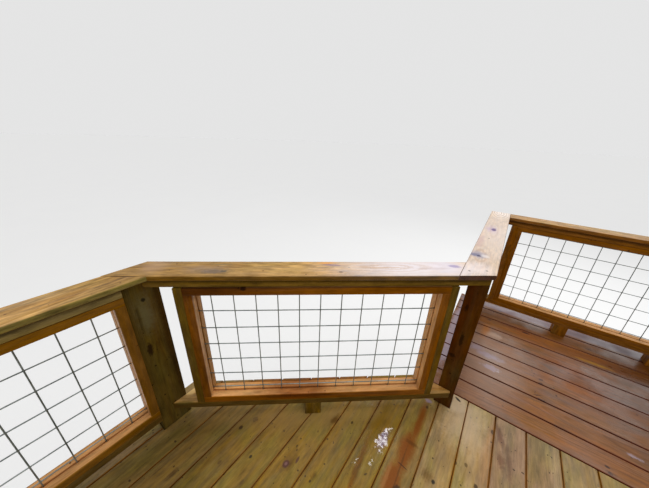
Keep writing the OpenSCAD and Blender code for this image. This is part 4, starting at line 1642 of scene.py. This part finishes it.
@dataclass
class Studio:
    """The camera, the lamps, the pale floor and the pale background.

    Args:
        eye: where the camera stands.
        right: its right.
        down: down in its picture.
        ahead: where it looks.
        lens: its focal length, in millimetres on a 36 mm sensor.
        reach: the floor's radius.
    """

    eye: Point = (-1.21234, -0.77256, 3.88024)
    right: Point = (0.80512617, 0.592064, 0.03510088)
    down: Point = (0.25797851, -0.29629677, -0.91959519)
    ahead: Point = (-0.53405893, 0.74944542, -0.39129607)
    lens: float = 14.172
    reach: float = 180.0

    def build(self) -> None:
        """Makes the whole studio."""
        self._camera()
        self._floor()
        self._lamp("sky_key", (1.6, 9.2, 7.8), (-0.4, 1.0, 2.6), (6.0, 6.0), 180.0)
        self._lamp("sky_gap", (-2.24, 3.68, 8.37), (-1.42, 0.12, 2.4), (1.2, 1.5), 60.0)
        self._world()

    def _camera(self) -> None:
        """Stands the camera where the photograph was taken."""
        data = bpy.data.cameras.new("camera")
        data.sensor_fit = "HORIZONTAL"
        data.sensor_width = 36.0
        data.lens = self.lens
        data.clip_start = 0.05
        data.clip_end = 400.0
        camera = enter("camera", data)
        columns = (Vector(self.right), -Vector(self.down), -Vector(self.ahead))
        matrix = Matrix([[c[i] for c in columns] for i in range(3)]).to_4x4()
        matrix.translation = Vector(self.eye)
        camera.matrix_world = matrix
        bpy.context.scene.camera = camera

    def _floor(self) -> None:
        """Lays a wide pale floor under the ground posts."""
        sides = 64
        mesh = bpy.data.meshes.new("floor")
        corners = [(self.reach * c, self.reach * s, 0.0) for c, s in circle(sides)]
        mesh.from_pydata(corners, [], [list(range(sides))])
        maker = MaterialMaker("studio_floor")
        mottle = maker.noise(maker.here(), 0.7, detail=3.0)
        colour = maker.blend(mottle, (0.89, 0.89, 0.89, 1.0), (0.91, 0.91, 0.905, 1.0))
        mesh.materials.append(maker.finish({"Base Color": colour, "Roughness": 0.95, "Specular IOR Level": 0.1}))
        floor = enter("floor", mesh)

    def _lamp(self, name: str, at: Point, to: Point, size: tuple[float, float], power: float) -> None:
        """Hangs one soft lamp.

        Args:
            name: its name.
            at: where it hangs.
            to: what it points at.
            size: its width and its height.
            power: its power, in watts.
        """
        data = bpy.data.lights.new(name, "AREA")
        data.shape = "RECTANGLE"
        data.size, data.size_y = size
        data.energy = power
        lamp = enter(name, data)
        lamp.location = at
        lamp.rotation_mode = "QUATERNION"
        lamp.rotation_quaternion = (Vector(to) - Vector(at)).to_track_quat("-Z", "Y")

    def _world(self) -> None:
        """Gives an even light that is stronger from above, and a pale background to look at."""
        world = bpy.data.worlds.new("studio")
        bpy.context.scene.world = world
        world.use_nodes = True
        wiring = Wiring(world.node_tree)
        wiring.tree.nodes.clear()
        height = wiring.split(wiring.add("ShaderNodeTexCoord").outputs["Generated"])[2]
        level = wiring.smooth(height, 0.0, 1.0, 0.12, 1.2)
        path = wiring.add("ShaderNodeLightPath").outputs
        seen = wiring.math("MAXIMUM", path["Is Camera Ray"], path["Is Transmission Ray"])
        lit = wiring.add("ShaderNodeBackground", {"Color": (1.0, 1.0, 1.0, 1.0), "Strength": level})
        shown = wiring.add("ShaderNodeBackground", {"Color": (0.78, 0.78, 0.78, 1.0), "Strength": 1.0})
        mixed = wiring.add("ShaderNodeMixShader", {0: seen, 1: lit.outputs[0], 2: shown.outputs[0]})
        wiring.add("ShaderNodeOutputWorld", {0: mixed.outputs[0]})


def post_tone(middle: Vector) -> Tone:
    """Gives the inner post, which stands behind the line of the seam, a darker and warmer tone."""
    inner = middle.y < INNER_POST_BACK and abs(middle.x - INNER_POST_X) < 0.01
    return (0.3, 0.9) if inner else (0.5, 0.35)


def front_tone(front: Tone, others: Tone) -> Callable[[Vector], Tone]:
    """Gives the front rail's timbers one tone and the others another."""
    return lambda middle: front if middle.y > FRONT_LINE else others


def main() -> None:
    """Builds the studio and every piece, in order."""
    logging.basicConfig(level=logging.INFO, format="%(name)s %(message)s")
    bpy.context.scene.view_settings.view_transform = "Standard"
    posts = partial(Timbers, edge=0.004, heart=Heart.INSIDE, upright=True)
    caps = partial(Timbers, edge=0.001, slope=0.08, tone=even(0.5, 0.3))
    deck = partial(Decking, "laid_main_boards", MAIN_NODES, MAIN_DECK, MAIN_TONES_AND_SHADING)
    strip = partial(Decking, "laid_strip_boards", STRIP_NODES, OUTER_DECK, STRIP_TONES)
    for part in (
        Studio(),
        deck(lambda middle: int((middle.x - PLAN.x_left) / PLAN.pitch)),
        strip(lambda middle: int((PLAN.y_front - middle.y) / PLAN.pitch)),
        Timbers(
            ("left_rim", "diagonal_rim", "side_rim", "front_rim", "right_rim", "back_rim", "seam_joist",
             "strip_joists_row", "front_joists", "rear_joists", "cut_joist", "trunk_headers", "trunk_trimmer",
             "beams", "knee_braces"),
            FRAMING,
        ),
        posts(("ground_posts",), FRAMING, edge=0.005),
        posts(("corner_post",), CORNER_POST, tone=even(0.5, 0.2)),
        posts(("rail_posts",), POST, tone=post_tone),
        caps(("left_cap",), LEFT_CAP, tone=even(0.3, 0.3)),
        caps(("diagonal_cap",), CAP),
        caps(("side_cap",), SIDE_CAP),
        caps(("front_cap", "right_cap"), FRONT_CAP),
        Timbers(("left_top_rail",), LEFT_RAIL),
        Timbers(("diagonal_top_rail", "side_top_rail"), RAIL),
        Timbers(("left_bottom_rail", "diagonal_bottom_rail", "side_bottom_rail"), LOW_RAIL),
        Timbers(
            ("front_top_rail", "right_top_rail", "front_bottom_rail", "right_bottom_rail"), FRONT_RAIL,
            tone=even(0.5, 0.5),
        ),
        Timbers(("rail_blocks",), STUD, upright=True, tone=front_tone((0.2, 0.8), (0.1, 0.1))),
        Timbers(("rail_studs",), STUD, tone=front_tone((0.5, 0.95), (0.5, 0.1))),
        WirePanel("left_panel", LEFT_BAYS, LEFT_CEDAR),
        WirePanel("diagonal_panel", DIAGONAL_BAYS, light=(0.0, 0.7)),
        WirePanel("side_panel", SIDE_BAYS),
        WirePanel("front_panels", FRONT_BAYS, FRONT_CEDAR),
        WirePanel("right_panels", RIGHT_BAYS, FRONT_CEDAR),
        Screws("deck_screws"),
        GapLitterAndShade("gap_litter"),
    ):
        part.build()


if __name__ == "__main__":
    main()
